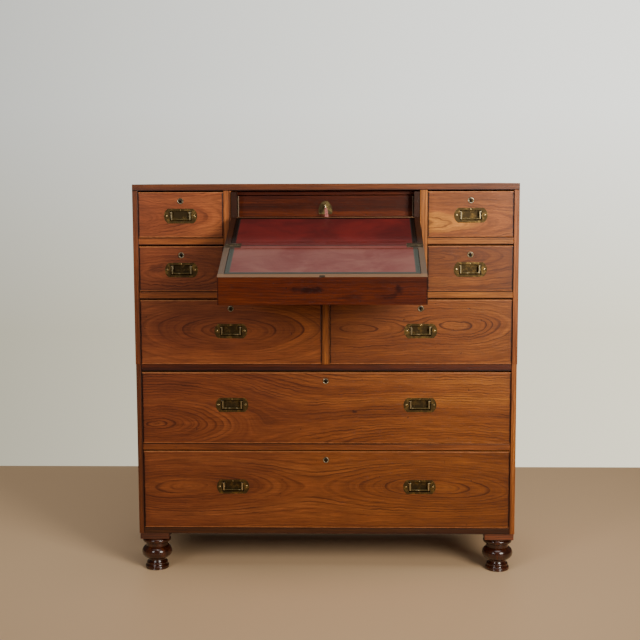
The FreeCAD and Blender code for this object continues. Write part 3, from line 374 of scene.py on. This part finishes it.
def case_board(name, grain, seed, joints, left, right_fade_and_light, shade):
    """Case wood in a shade. joints set its dark joint lines, of grime and painted gap
    shade; left and the right multiplier give its fading and painted light from the right.
    """
    finish, tree, shader, place = new_finish(name)
    dark, mid, pale = ((red * shade, green * shade, blue * shade, full)
                       for red, green, blue, full in CASE_TONES)
    tone, dull, height = timber(tree, place, dark, mid, pale, grain, seed=seed)
    # lighter to the right: fading, and painted light from the right
    tone = fade_and_light_wash(tree, place, tone, left, right_fade_and_light)
    if joints:
        tone = joint_dirt_and_gap_shade(tree, place, tone, *joints)
    polish(tree, shader, place, tone, dull, height)
    return finish


UNFADED = (1, 1, 1)
upper_inner, lower_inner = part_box("upper_back")[1].x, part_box("lower_back")[1].x
dress("upper_sides", case_board(
    "upper_side_camphor", "Z", 1.3, ("X", (-upper_inner, upper_inner), 0.003, 0.9),
    UNFADED, (1.65, 1.82, 1.3), 0.82))
dress("lower_sides", case_board(
    "lower_side_camphor", "Z", 1.9, ("X", (-lower_inner, lower_inner), 0.004, 0.95),
    UNFADED, (2.2, 2.42, 1.75), 0.56))
UPRIGHT = 0.015
upright_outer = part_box("partitions")[1].x
upright_edges = [side * x for side in (-1, 1)
                 for x in (upright_outer, upright_outer - UPRIGHT, UPRIGHT / 2)]
dress("partitions", case_board("upright_camphor", "Z", 2.7, ("X", upright_edges),
                               (1.4, 1.5, 1.35), (1.5, 1.9, 1.0), 1.0))
SEAM_IN = 0.0005
under_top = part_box("upper_top")[0].z + SEAM_IN
dress("upper_top", case_board("top_camphor", "X", 2.1, ("Z", (under_top,), 0.003, 0.85),
                              UNFADED, (1.25, 1.3, 1.1), 0.62))
SMALL_RAIL = 0.018
rail_low, rail_high = (corner.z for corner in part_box("upper_rails"))
rail_seams = (rail_low + SEAM_IN, rail_low + SEAM_IN + SMALL_RAIL, rail_high - SMALL_RAIL, rail_high)
dress("upper_rails", case_board("small_rail_camphor", "X", 3.3, ("Z", rail_seams, 0.003, 0.85),
                                (1.25, 1.3, 1.1), (1.35, 1.65, 0.75), 1.0))
rail_edges = (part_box("long_high_front")[0].z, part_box("long_low_front")[1].z)
dress("lower_rails", case_board("long_rail_camphor", "X", 3.9, ("Z", rail_edges, 0.0035, 0.9),
                                UNFADED, (1.3, 1.4, 1.25), 0.8))
under_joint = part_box("lower_top")[0].z
dress("lower_top", case_board("joint_camphor", "X", 4.4, ("Z", (under_joint,), 0.006, 0.9),
                              (1.8, 1.2, 0.7), (1.9, 1.3, 0.8), 0.18))
dress("base_board", case_board("base_camphor", "X", 4.9, None, UNFADED, (1.2, 1.25, 1.1), 0.2))

# ------------------------------------------------------------- plain inner boards
# Drawer sides, bottoms and the two backs are plain unpolished camphor, pale
# brown and dry, with dust in the grain.


def plain_board(name, dark, pale, grain):
    """Bare wood with a dusty mottle."""
    finish, tree, shader, place = new_finish(name)
    middle = tuple((a + b) / 2 for a, b in zip(dark, pale))
    tone, dull, height = timber(tree, place, dark, middle, pale, grain, front=0, ring=40, line=0.35)
    dust = between(tree, clouds(tree, place, 6, 4, 0.6), 0.5, 0.75, 0.0, 0.5)
    tone = stain(tree, dust, tone, 0.62, 0.52, 0.45)
    tree.links.new(tone, shader.inputs["Base Color"])
    shader.inputs["Roughness"].default_value = 0.72
    tree.links.new(relief(tree, height, 0.0003, 0.6), shader.inputs["Normal"])
    return finish


drawer_lining = plain_board("drawer_lining", colour(138, 98, 62), colour(186, 146, 102), "Y")
back_boards = plain_board("back_boards", colour(112, 74, 46), colour(154, 110, 74), "X")
for name in ("upper_back", "lower_back", "upper_bottom"):
    dress(name, back_boards)

# ------------------------------------------------------------- drawer fronts
# Each front is one wide polished board, cut so that its figure shows as ovals
# and long waves. The level edges are pale, rubbed and with a painted highlight;
# the ends are painted dark as shade from the gaps; and the right side is
# lighter, from fading and from painted light from the right.

EVEN = colour(116, 58, 29), colour(138, 73, 38), colour(162, 94, 52)
STREAKED = colour(92, 46, 18), colour(138, 73, 38), colour(190, 120, 54)
RUB_AND_HIGHLIGHT = colour(190, 120, 70)
# tones, depth of colour, seed, ripple, ovals and dark marks of each front
FRONTS = {
    "small_upper_left": (EVEN, 1.25, 0.5, 1.3, [(-0.36, 1.06, 6), (-0.56, 0.95, 5)], ()),
    "small_upper_right": (STREAKED, 1.12, 1.1, 1.3, [(0.47, 1.08, 6), (0.22, 0.93, 7)], ()),
    "small_lower_left": (EVEN, 1.1, 2.7, 1.2, [(-0.39, 0.80, 4)],
                         [(-0.44, 0.813, 0.02, 0.012, 0.5)]),
    "small_lower_right": (EVEN, 0.76, 3.1, 1.0, [(0.28, 0.84, 5)], ()),
    "half_left": (EVEN, 1.0, 4.9, 0.6, [(-0.25, 0.652, 3.6)], ()),
    "half_right": (EVEN, 0.85, 5.3, 0.9, [(0.07, 0.655, 4.2), (0.31, 0.66, 3.4)], ()),
    "long_high": (EVEN, 0.9, 6.2, 0.8, [(-0.45, 0.403, 3.4), (0.30, 0.34, 7)],
                  [(0.075, 0.435, 0.008, 0.005, 0.8)]),
    "long_low": (EVEN, 0.85, 7.4, 0.6, [(-0.36, 0.236, 5), (0.27, 0.230, 5.2)],
                 [(-0.115, 0.255, 0.008, 0.005, 0.8)]),
}


def edge_wear_and_painted_light(tree, place, tone, low, high):
    """Grime near a drawer front's edges, a dark band down its ends that is painted
    shade from the gaps, and its level edges pale, rubbed and with a painted highlight.
    """
    apart = parts_of(tree, place)
    ragged = times(tree, minus(tree, clouds(tree, place, 60, 3, 0.6), 0.5), 0.005)
    beside = maths(tree, "MINIMUM", minus(tree, apart["X"], low.x), minus(tree, high.x, apart["X"]))
    beside = maths(tree, "ADD", ragged, beside)
    over = maths(tree, "ADD", ragged, minus(tree, high.z, apart["Z"]))
    under = maths(tree, "ADD", ragged, minus(tree, apart["Z"], low.z))
    level = maths(tree, "MINIMUM", over, under)
    nearest = maths(tree, "MINIMUM", beside, level)
    tone = stain(tree, between(tree, nearest, 0.0, 0.02, 0.3, 0.0), tone, 0.6, 0.5, 0.45)
    # painted shade from the gaps: a dark band down each end
    tone = stain(tree, between(tree, beside, 0.0006, 0.0042, 0.95, 0.0), tone, 0.14, 0.09, 0.07)
    # rubbing and a painted highlight: the level edges pale
    return tint(tree, between(tree, level, 0.0, 0.0034, 0.7, 0.0), tone, RUB_AND_HIGHLIGHT)


for name, (tones, depth, seed, wave, hearts, spots) in FRONTS.items():
    finish, tree, shader, place = new_finish(name + "_figure")
    tone, dull, height = timber(tree, place, *tones, "X", hearts, seed=seed, wave=wave, spots=spots)
    # lighter to the right: fading, and painted light from the right
    tone = fade_and_light_wash(tree, place, tone, (0.9 * depth, 0.86 * depth, 0.8 * depth),
                 (1.08 * depth, 1.17 * depth, 0.56 * depth))
    tone = edge_wear_and_painted_light(tree, place, tone, *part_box(name + "_front"))
    polish(tree, shader, place, tone, dull, height)
    dress(name + "_front", finish)
    dress(name + "_box", drawer_lining)

# ------------------------------------------------------------- turned feet
# The four bun feet are turned, stained dark and polished to a gloss. The square
# blocks over them are plain case wood, glued under the corners.

BLOCK_FOOT, BLURRED = 0.09, 0.0002
foot_finish, tree, shader, place = new_finish("foot_polish")
turned = wire(tree, "ShaderNodeMapping", Vector=place, Scale=(60, 60, 5)).outputs[0]
figure = clouds(tree, turned, 1.0, 3, 0.6)
stained = shades(tree, figure, (0.3, colour(34, 12, 4)), (0.55, colour(62, 26, 10)),
                 (0.8, colour(98, 48, 22)))
wood = timber(tree, place, colour(84, 38, 17), colour(112, 56, 27), colour(138, 76, 40), "X",
              seed=5.7)[0]
# lighter to the right: fading, and painted light from the right
wood = fade_and_light_wash(tree, place, wood, (0.85, 0.8, 0.75), (1.3, 1.35, 1.4))
block = between(tree, parts_of(tree, place)["Z"], BLOCK_FOOT - BLURRED, BLOCK_FOOT + BLURRED)
tree.links.new(tint(tree, block, stained, wood), shader.inputs["Base Color"])
tree.links.new(between(tree, block, 0, 1, 0.2, 0.42), shader.inputs["Roughness"])
shader.inputs["Coat Weight"].default_value = 0.24
shader.inputs["Coat Roughness"].default_value = 0.13
tree.links.new(relief(tree, figure, 0.0002, 0.4), shader.inputs["Normal"])
dress("feet", foot_finish)

# ------------------------------------------------------------- flush handles
# Each handle is a cast brass plate over a pan, gone olive brown, with a bail
# that hangs in it. The bail's arms stay bright: rubbed by fingers, and a painted
# highlight.


BAIL_ARM_HIGHLIGHT = (0.0225, 0.0245)


def old_brass(name, metal, tarnish, spread, rough, face=None, middle=None):
    """Tarnished brass. Behind face it is darker, grime with painted shade in the pan;
    middle is a bail's X, whose arms stay bright, rubbed and with a painted highlight.
    """
    finish, tree, shader, place = new_finish(name)
    patch = clouds(tree, place, 75, 4, 0.6, 0.3)
    fine = clouds(tree, place, 420, 3, 0.6)
    cover = between(tree, times_plus(tree, fine, 0.3, patch), spread, spread + 0.3)
    apart = parts_of(tree, place)
    if middle is not None:
        off = maths(tree, "ABSOLUTE", minus(tree, apart["X"], middle))
        # rubbing and a painted highlight: the bail's arms keep less tarnish
        arm_highlight = between(tree, off, *BAIL_ARM_HIGHLIGHT)
        cover = times(tree, cover, between(tree, arm_highlight, 0, 1, 1.0, 0.15))
    tone = tint(tree, cover, metal, tarnish)
    if face is not None:
        # grime and painted shade: darker behind the plate's face, in the pan
        inside = between(tree, apart["Y"], face + 0.0006, face + 0.0035, 0.0, 0.38)
        tone = tint(tree, inside, tone, colour(22, 16, 8))
    tree.links.new(tone, shader.inputs["Base Color"])
    tree.links.new(between(tree, cover, 0, 1, 1.0, 0.8), shader.inputs["Metallic"])
    tree.links.new(times_plus(tree, cover, 0.2, rough), shader.inputs["Roughness"])
    tree.links.new(relief(tree, fine, 0.00012, 0.5), shader.inputs["Normal"])
    return finish


PLATE_METAL, PLATE_TARNISH = colour(142, 112, 62), colour(70, 54, 26)
plate_brass = old_brass("plate_brass", PLATE_METAL, PLATE_TARNISH, 0.4, 0.34, FRONT_FACE)
for name in FRONTS:
    dress(name + "_brass", plate_brass)
for name in nodes:
    if "_bail" in name:
        low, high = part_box(name)
        dress(name, old_brass(name + "_brass", colour(222, 200, 156), colour(92, 76, 42), 0.35, 0.24,
                              middle=(low.x + high.x) / 2))

# ------------------------------------------------------------- screws and escutcheons
# Two brass screws hold each plate, their slots full of wax, and a small stop pin
# stands over each bail. Round every keyhole is a raised, rubbed rim.


def tree_of(name, made_of, **sizes):
    """A geometry tree that sets one piece on each point; made_of builds the piece."""
    group = bpy.data.node_groups.new(name, "GeometryNodeTree")
    group.interface.new_socket("Points", in_out="INPUT", socket_type="NodeSocketGeometry")
    for label, value in sizes.items():
        socket = group.interface.new_socket(label.replace("_", " "), in_out="INPUT",
                                            socket_type="NodeSocketFloat")
        socket.default_value = value
    group.interface.new_socket("Finish", in_out="INPUT", socket_type="NodeSocketMaterial")
    group.interface.new_socket("Pieces", in_out="OUTPUT", socket_type="NodeSocketGeometry")
    given = group.nodes.new("NodeGroupInput").outputs
    piece, turn = made_of(group, given)
    dots = wire(group, "GeometryNodeMeshToPoints", Mesh=given["Points"]).outputs[0]
    on = wire(group, "GeometryNodeInstanceOnPoints", Points=dots, Instance=piece)
    if turn is not None:
        group.links.new(turn, on.inputs["Rotation"])
    real = wire(group, "GeometryNodeRealizeInstances", i0=on.outputs[0]).outputs[0]
    smooth = wire(group, "GeometryNodeSetShadeSmooth", i0=real).outputs[0]
    last = wire(group, "GeometryNodeSetMaterial", Geometry=smooth, Material=given["Finish"])
    group.links.new(last.outputs[0], group.nodes.new("NodeGroupOutput").inputs[0])
    return group


def screw_slot(group, given):
    """A bar across the screw, turned at random; the seed is fixed."""
    size = point_at(group, given["Slot Length"], given["Slot Depth"], given["Slot Width"])
    turn = wire(group, "FunctionNodeRandomValue", {"data_type": "FLOAT"}, i2=-1.2, i3=1.2, Seed=7)
    return (wire(group, "GeometryNodeMeshCube", Size=size).outputs[0],
            point_at(group, 0.0, turn.outputs[1], 0.0))


def screw_head(group, given):
    ball = wire(group, "GeometryNodeMeshUVSphere", Segments=16, Rings=8).outputs[0]
    size = point_at(group, given["Head Radius"], given["Head Rise"], given["Head Radius"])
    return wire(group, "GeometryNodeTransform", Geometry=ball, Scale=size).outputs[0], None


def bent_bead(group, given, steps, round_steps):
    """A round bead bent into a level ring."""
    ring = wire(group, "GeometryNodeCurvePrimitiveCircle", Resolution=steps,
                Radius=given["Ring Radius"]).outputs[0]
    section = wire(group, "GeometryNodeCurvePrimitiveCircle", Resolution=round_steps,
                   Radius=given["Bead Radius"]).outputs[0]
    return wire(group, "GeometryNodeCurveToMesh", Curve=ring, Profile_Curve=section).outputs[0]


def scutcheon_rim(group, given):
    upright = wire(group, "GeometryNodeTransform", Geometry=bent_bead(group, given, 40, 10),
                   Rotation=(math.pi / 2, 0, 0))
    return upright.outputs[0], None


def keyhole(group, given):
    pin = wire(group, "GeometryNodeMeshCylinder", Vertices=20, Radius=given["Hole Radius"],
               Depth=given["Hole Depth"]).outputs[0]
    pin = wire(group, "GeometryNodeTransform", Geometry=pin, Rotation=(math.pi / 2, 0, 0)).outputs[0]
    size = point_at(group, given["Slit Width"], given["Hole Depth"], given["Slit Height"])
    slit = wire(group, "GeometryNodeMeshCube", Size=size).outputs[0]
    drop = point_at(group, 0.0, 0.0, times(group, given["Slit Height"], -0.5))
    slit = wire(group, "GeometryNodeTransform", Geometry=slit, Translation=drop).outputs[0]
    both = group.nodes.new("GeometryNodeJoinGeometry")
    for part in (pin, slit):
        group.links.new(part, both.inputs[0])
    return both.outputs[0], None


def repeat_on(name, points, group, finish, body):
    """Grow the tree's pieces on the points and keep them as one plain mesh."""
    seeds = bpy.data.objects.new(name + "_points", bpy.data.meshes.new(name + "_points"))
    seeds.data.from_pydata(points, [], [])
    bpy.context.scene.collection.objects.link(seeds)
    grow = seeds.modifiers.new("grow", "NODES")
    grow.node_group = group
    for item in group.interface.items_tree:
        if item.item_type == "SOCKET" and item.in_out == "INPUT" and item.name == "Finish":
            grow[item.identifier] = finish
    bpy.context.view_layer.update()
    shown = seeds.evaluated_get(bpy.context.evaluated_depsgraph_get())
    made = bpy.data.objects.new(name, bpy.data.meshes.new_from_object(shown))
    made.data.name = name
    bpy.context.scene.collection.objects.link(made)
    bpy.data.objects.remove(seeds)
    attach(made, body)


slot_tree = tree_of("screw_slots", screw_slot, Slot_Length=0.0038, Slot_Width=0.0007,
                    Slot_Depth=0.0005)
head_tree = tree_of("screw_heads", screw_head, Head_Radius=0.0024, Head_Rise=0.0004)
pin_tree = tree_of("stop_pins", screw_head, Head_Radius=0.0014, Head_Rise=0.0008)
hole_tree = tree_of("keyholes", keyhole, Hole_Radius=0.0036, Hole_Depth=0.0008, Slit_Width=0.0036,
                    Slit_Height=0.0062)
rim_tree = tree_of("scutcheon_rims", scutcheon_rim, Ring_Radius=0.0066, Bead_Radius=0.0011)
screw_brass = old_brass("screw_brass", colour(214, 186, 128), colour(140, 116, 70), 0.6, 0.25)
rim_brass = old_brass("rim_brass", colour(206, 194, 168), colour(110, 98, 74), 0.5, 0.24)
# wax in the screw slots; in the keyholes, painted shade of the hole
wax_and_hole_shade, tree, shader, place = new_finish("slot_wax_and_hole_shade")
wax = shades(tree, clouds(tree, place, 900, 2), (0.3, colour(14, 9, 5)), (0.7, colour(34, 24, 14)))
tree.links.new(wax, shader.inputs["Base Color"])
shader.inputs["Roughness"].default_value = 0.8

PLATE_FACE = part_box("long_high_brass")[0].y
SCREW_FROM_MIDDLE, ABOVE_BAIL, PIN_UP = 0.036, 0.0005, 0.015
LOCK_DOWN, HOLE_UP, SLOT_PROUD, RIM_SUNK = 0.023, 0.0012, 0.00035, 0.0003
for name in FRONTS:
    low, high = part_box(name + "_front")
    body = name + "_drawer"
    bails = [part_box(node) for node in nodes if node.startswith(name + "_bail")]
    middles = [((a.x + b.x) / 2, (a.z + b.z) / 2 + ABOVE_BAIL) for a, b in bails]
    screws = [(x + side * SCREW_FROM_MIDDLE, z) for x, z in middles for side in (-1, 1)]
    repeat_on(name + "_screw_heads", [(x, PLATE_FACE, z) for x, z in screws], head_tree,
              screw_brass, body)
    repeat_on(name + "_stop_pins", [(x, PLATE_FACE, z + PIN_UP) for x, z in middles], pin_tree,
              screw_brass, body)
    repeat_on(name + "_screw_slots", [(x, PLATE_FACE - SLOT_PROUD, z) for x, z in screws],
              slot_tree, wax_and_hole_shade, body)
    lock_x, lock_z = (low.x + high.x) / 2, high.z - LOCK_DOWN
    repeat_on(name + "_rim", [(lock_x, PLATE_FACE + RIM_SUNK, lock_z)], rim_tree, rim_brass, body)
    # painted shade: a dark keyhole piece on the plate, for the shade in the hole
    repeat_on(name + "_keyhole", [(lock_x, PLATE_FACE, lock_z + HOLE_UP)], hole_tree, wax_and_hole_shade,
              body)

# ------------------------------------------------------------- foot beads
# Each foot ends in two rounded beads, turned in the same piece of wood. The
# lower one rounds off the sole, just clear of the floor.

FEET_AT = [(x, y) for x in (-0.459, 0.459) for y in (-0.0095, 0.3625)]


def foot_bead(group, given):
    return bent_bead(group, given, 64, 16), None


# each bead's height, ring radius and own radius
for label, (up, ring, bead) in {"lower": (0.0064, 0.0272, 0.0046),
                                "upper": (0.0158, 0.0244, 0.0042)}.items():
    bead_tree = tree_of(label + "_bead", foot_bead, Ring_Radius=ring, Bead_Radius=bead)
    repeat_on("feet_" + label + "_beads", [(x, y, up) for x, y in FEET_AT], bead_tree,
              foot_finish, "lower_case")

# ------------------------------------------------------------- writing drawer
# A mahogany box whose sides slope down to the fold. Its near edge is covered
# by the same red leather as the flap. The rims of its sides are painted dark as
# shade, and its lip has a painted highlight, stronger to the right.

SLOPE = math.radians(20.29)
BASE_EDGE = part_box("writing_base")[0].y
LID_FRONT, LID_EDGE = (corner.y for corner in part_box("lid_frame"))
FOLD_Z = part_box("lid_frame")[1].z
INSIDE_HALF, BORDER_HALF = 0.2288, 0.2165


def slope_place(tree, place, lid):
    """How far a point lies along the writing slope from the fold, over it, and off the middle."""
    apart = parts_of(tree, place)
    back = minus(tree, apart["Y"], LID_EDGE if lid else BASE_EDGE)
    up = minus(tree, apart["Z"], FOLD_Z)
    along = times_plus(tree, back, math.cos(SLOPE), times(tree, up, math.sin(SLOPE)))
    over = times_plus(tree, back, -math.sin(SLOPE), times(tree, up, math.cos(SLOPE)))
    return maths(tree, "ABSOLUTE", along), over, maths(tree, "ABSOLUTE", apart["X"])


def window(tree, value, low, high):
    """1 where the value is between low and high, else 0."""
    return times(tree, maths(tree, "GREATER_THAN", value, low),
                 maths(tree, "LESS_THAN", value, high))


RED_DEEP, RED_WORN, RED_EDGE = colour(74, 5, 5), colour(104, 17, 13), colour(134, 48, 40)
PINK_DEEP, PINK_WORN, PINK_EDGE = colour(108, 36, 30), colour(128, 74, 64), colour(126, 50, 42)
RED_LAID, PINK_LAID, FOLD_GAP_SHADE = colour(98, 34, 28), colour(120, 50, 42), colour(44, 22, 18)
# the inner flap's grey-green border is painted near black, as in shade
TEAL_IN_PAINTED_SHADE, TEAL = colour(18, 9, 5), colour(54, 60, 52)
RIM_BROWN_SHADE, RIM_GREY_REFLECTION, RIM_HIGHLIGHT = colour(44, 24, 13), colour(98, 80, 62), colour(128, 94, 62)
MAHOGANY = colour(54, 18, 3), colour(80, 28, 5), colour(108, 48, 14)


def hide(tree, place, lid):
    """Old leather: its colour, with rubbed patches and faint creases, and its relief."""
    deep, worn, crease = (PINK_DEEP, PINK_WORN, 0.5) if lid else (RED_DEEP, RED_WORN, 0.4)
    patch = clouds(tree, place, 8, 4, 0.6, 0.6)
    tone = tint(tree, between(tree, patch, 0.35, 0.68), deep, worn)
    drawn = wire(tree, "ShaderNodeMapping", Vector=place, Scale=(9, 34, 34)).outputs[0]
    folds = clouds(tree, drawn, 1.0, 4, 0.62, 0.8)
    tone = tint(tree, between(tree, folds, 0.5, 0.72, 0.0, crease), tone, worn)
    tone = tint(tree, between(tree, folds, 0.28, 0.46, crease, 0.0), tone, deep)
    scuff = clouds(tree, place, 60, 3, 0.7)
    tone = stain(tree, between(tree, scuff, 0.3, 0.7, 0.2, 0.0), tone, 0.7, 0.62, 0.6)
    cells = wire(tree, "ShaderNodeTexVoronoi", Vector=place, Scale=900.0).outputs["Distance"]
    return tone, times_plus(tree, folds, 4.0, times(tree, cells, 0.5))


FLAP_REACH, BOARD_REACH, RIM_FROM, FACE_SLACK = 0.0305, 0.0196, 0.1652, -0.0004
LIP_Y, LIP_Z = (-0.0570, -0.0500), (0.9452, 0.9475)


def board_rims(tree, place, tone, lid, top, along, off):
    """The rims of the sides, grey with a painted reflection on the lid and dark with
    painted shade on the box, a painted highlight on the lid's near rim and on the
    box's lip, and the border beside the leather.
    """
    inside = maths(tree, "LESS_THAN", off, INSIDE_HALF)
    side_rim = times(tree, top, maths(tree, "GREATER_THAN", off, INSIDE_HALF))
    # painted reflection on the lid's side rims, painted shade on the box's
    tone = tint(tree, times(tree, side_rim, 0.85), tone, RIM_GREY_REFLECTION if lid else RIM_BROWN_SHADE)
    if lid:
        # painted highlight on the lid's near rim
        near_rim = times(tree, top, maths(tree, "GREATER_THAN", along, RIM_FROM))
        tone = tint(tree, times(tree, near_rim, 0.85), tone, RIM_HIGHLIGHT)
    else:
        apart = parts_of(tree, place)
        lip = times(tree, window(tree, apart["Y"], *LIP_Y), window(tree, apart["Z"], *LIP_Z))
        # painted highlight on the lip, with wear, growing to the right
        rubbed = between(tree, apart["X"], -0.1, 0.2, 0.3, 0.9)
        tone = tint(tree, times(tree, times(tree, lip, inside), rubbed), tone, RIM_HIGHLIGHT)
    border = times(tree, top, window(tree, off, BORDER_HALF, INSIDE_HALF))
    border = times(tree, border, maths(tree, "LESS_THAN", along, BOARD_REACH))
    return tint(tree, border, tone, TEAL if lid else TEAL_IN_PAINTED_SHADE)


def box_wood(name, seed, flap, lid, spots=()):
    """Mahogany of a flap or of the box, with leather laid on what lies along the slope."""
    finish, tree, shader, place = new_finish(name)
    tone, dull, height = timber(tree, place, *MAHOGANY, "X", front=LID_FRONT if lid else BASE_EDGE,
                                seed=seed, line=0.6, spots=spots)
    along, over, off = slope_place(tree, place, lid)
    # painted shade: the outer faces of the sides and the outer edge of their rims go near black
    tone = stain(tree, between(tree, off, 0.2385, 0.2425, 0.0, 0.8), tone, 0.15, 0.1, 0.08)
    top = maths(tree, "GREATER_THAN", over, FACE_SLACK)
    if flap:
        # the flap's border: grey-green on the lid, painted near black as shade inside
        tone = tint(tree, top, tone, TEAL if lid else TEAL_IN_PAINTED_SHADE)
    else:
        tone = board_rims(tree, place, tone, lid, top, along, off)
    skin = hide(tree, place, lid)[0]
    near_fold = between(tree, along, 0.004, 0.045, 0.55, 0.0)
    skin = tint(tree, near_fold, skin, PINK_LAID if lid else RED_LAID)
    laid = times(tree, top, window(tree, along, 0.0, FLAP_REACH if flap else BOARD_REACH))
    laid = times(tree, laid, maths(tree, "LESS_THAN", off, BORDER_HALF))
    tone = tint(tree, laid, tone, skin)
    # painted shade: a dark line along the fold, in the gap between the leaves
    crease = between(tree, along, 0.0016, 0.0032, 0.85, 0.0)
    tone = tint(tree, times(tree, crease, top), tone, FOLD_GAP_SHADE)
    polish(tree, shader, place, tone, dull, height, 0.3)
    shader.inputs["Specular IOR Level"].default_value = 0.2
    return finish


def flap_leather(name, lid):
    """The leather inlaid in a flap, with a border at its ends: grey-green on the lid,
    and on the inner flap that grey-green painted near black as shade.
    """
    finish, tree, shader, place = new_finish(name)
    skin, height = hide(tree, place, lid)
    along, over, off = slope_place(tree, place, lid)
    near_fold = between(tree, along, 0.004, 0.045, 0.55, 0.0)
    skin = tint(tree, near_fold, skin, PINK_EDGE if lid else RED_EDGE)
    ends = maths(tree, "GREATER_THAN", off, BORDER_HALF)
    tree.links.new(tint(tree, ends, skin, TEAL if lid else TEAL_IN_PAINTED_SHADE), shader.inputs["Base Color"])
    shader.inputs["Roughness"].default_value = 0.46
    shader.inputs["Specular IOR Level"].default_value = 0.25
    shader.inputs["Sheen Weight"].default_value = 0.1 if lid else 0.03
    tree.links.new(relief(tree, height, 0.0001, 0.5), shader.inputs["Normal"])
    return finish


dress("writing_base", box_wood("writing_mahogany", 8.2, flap=False, lid=False))
dress("inner_flap", box_wood("inner_flap_mahogany", 8.6, flap=True, lid=False))
dress("inner_leather", flap_leather("deep_red_leather", lid=False))
dress("writing_handles", old_brass("hidden_plate_brass", PLATE_METAL, PLATE_TARNISH, 0.4, 0.34,
                                   BASE_EDGE))

# ------------------------------------------------------------- folding lid
# The lid is the front half of the writing box, turned over to the front. Its
# flap's leather has faded to pink, and a grey-green strip runs round it.

LID_MARKS = [(-0.03, 0.789, 0.034, 0.008, 0.85), (0.176, 0.79, 0.012, 0.02, 0.85),
             (0.15, 0.774, 0.035, 0.008, 0.7), (0.06, 0.772, 0.05, 0.009, 0.5)]
dress("lid_frame", box_wood("lid_mahogany", 9.4, flap=False, lid=True, spots=LID_MARKS))
dress("lid_flap", box_wood("lid_flap_mahogany", 9.7, flap=True, lid=True))
dress("lid_leather", flap_leather("faded_leather", lid=True))
hinge_brass = old_brass("hinge_brass", colour(132, 116, 90), colour(72, 60, 44), 0.38, 0.42)
for name in ("fold_hinges", "lid_brass"):
    dress(name, hinge_brass)

# ------------------------------------------------------------- fall, lock and key
# A narrow mahogany fall closes the compartment behind the slope. Its brass
# lock has a key in it, and the key's bow carries a ribbon.

FALL_TONES = colour(42, 14, 2), colour(70, 24, 4), colour(118, 52, 16)
FALL_END, END_GRAIN_HIGHLIGHT = 0.2256, colour(140, 122, 100)
finish, tree, shader, place = new_finish("fall_mahogany")
tone, dull, height = timber(tree, place, *FALL_TONES, "X", front=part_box("fall")[0].y, seed=9.9,
                            line=0.7)
# painted highlight along the fall's ends, over their end grain
end = maths(tree, "GREATER_THAN", maths(tree, "ABSOLUTE", parts_of(tree, place)["X"]), FALL_END)
tone = tint(tree, times(tree, end, 0.8), tone, END_GRAIN_HIGHLIGHT)
polish(tree, shader, place, tone, dull, height, 0.3)
shader.inputs["Specular IOR Level"].default_value = 0.2
dress("fall", finish)
dress("fall_lock", old_brass("fall_lock_brass", colour(150, 130, 84), colour(74, 60, 34), 0.4, 0.34))
dress("key", old_brass("key_brass", colour(236, 214, 160), colour(168, 144, 96), 0.6, 0.22))
dress("lock_bolt", old_brass("bolt_brass", colour(190, 164, 108), colour(110, 90, 54), 0.5, 0.3))

# ------------------------------------------------------------- key ribbon
# A pink silk ribbon is tied through the key's bow, and its two ends hang in
# front of the fall.

# the pleats are gathered after their width is shared out, so the strip made here
# unfolds to 8.4 mm and not to the full RIBBON
RIBBON, PLEAT, FOLDS, GATHERED = 0.010, 0.0012, 6, 0.62
LENGTH_POINTS = [(0.0010, -0.0508, 0.9475), (0.0012, -0.0508, 0.9540), (0.0010, -0.0507, 0.9610),
                 (0.0004, -0.0506, 0.9680), (0.0012, -0.0506, 0.9712), (0.0024, -0.0508, 0.9690),
                 (0.0042, -0.0510, 0.9610), (0.0054, -0.0511, 0.9540), (0.0062, -0.0512, 0.9475)]
fold_step = math.sqrt((RIBBON / FOLDS) ** 2 - PLEAT ** 2) * GATHERED
points = [(x + (fold - FOLDS / 2) * fold_step, y - (fold % 2) * PLEAT, z)
          for x, y, z in LENGTH_POINTS for fold in range(FOLDS + 1)]
firsts = [row * (FOLDS + 1) + fold for row in range(len(LENGTH_POINTS) - 1) for fold in range(FOLDS)]
faces = [(a, a + 1, a + FOLDS + 2, a + FOLDS + 1) for a in firsts]
finish, tree, shader, place = new_finish("pink_silk")
weave = wire(tree, "ShaderNodeTexWave", {"bands_direction": "Z"}, Vector=place, Scale=900.0,
             Distortion=1.0).outputs["Fac"]
silk = tint(tree, between(tree, clouds(tree, place, 180, 3), 0.3, 0.7), colour(140, 68, 62),
            colour(180, 108, 98))
silk = stain(tree, times(tree, weave, 0.2), silk, 0.7, 0.6, 0.6)
tree.links.new(silk, shader.inputs["Base Color"])
shader.inputs["Roughness"].default_value = 0.5
shader.inputs["Sheen Weight"].default_value = 0.3
ribbon = mesh_piece("pink_ribbon", points, faces, finish, "fall")
for face in ribbon.data.polygons:
    face.use_smooth = True
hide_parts("key_ribbon")
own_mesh(ribbon)
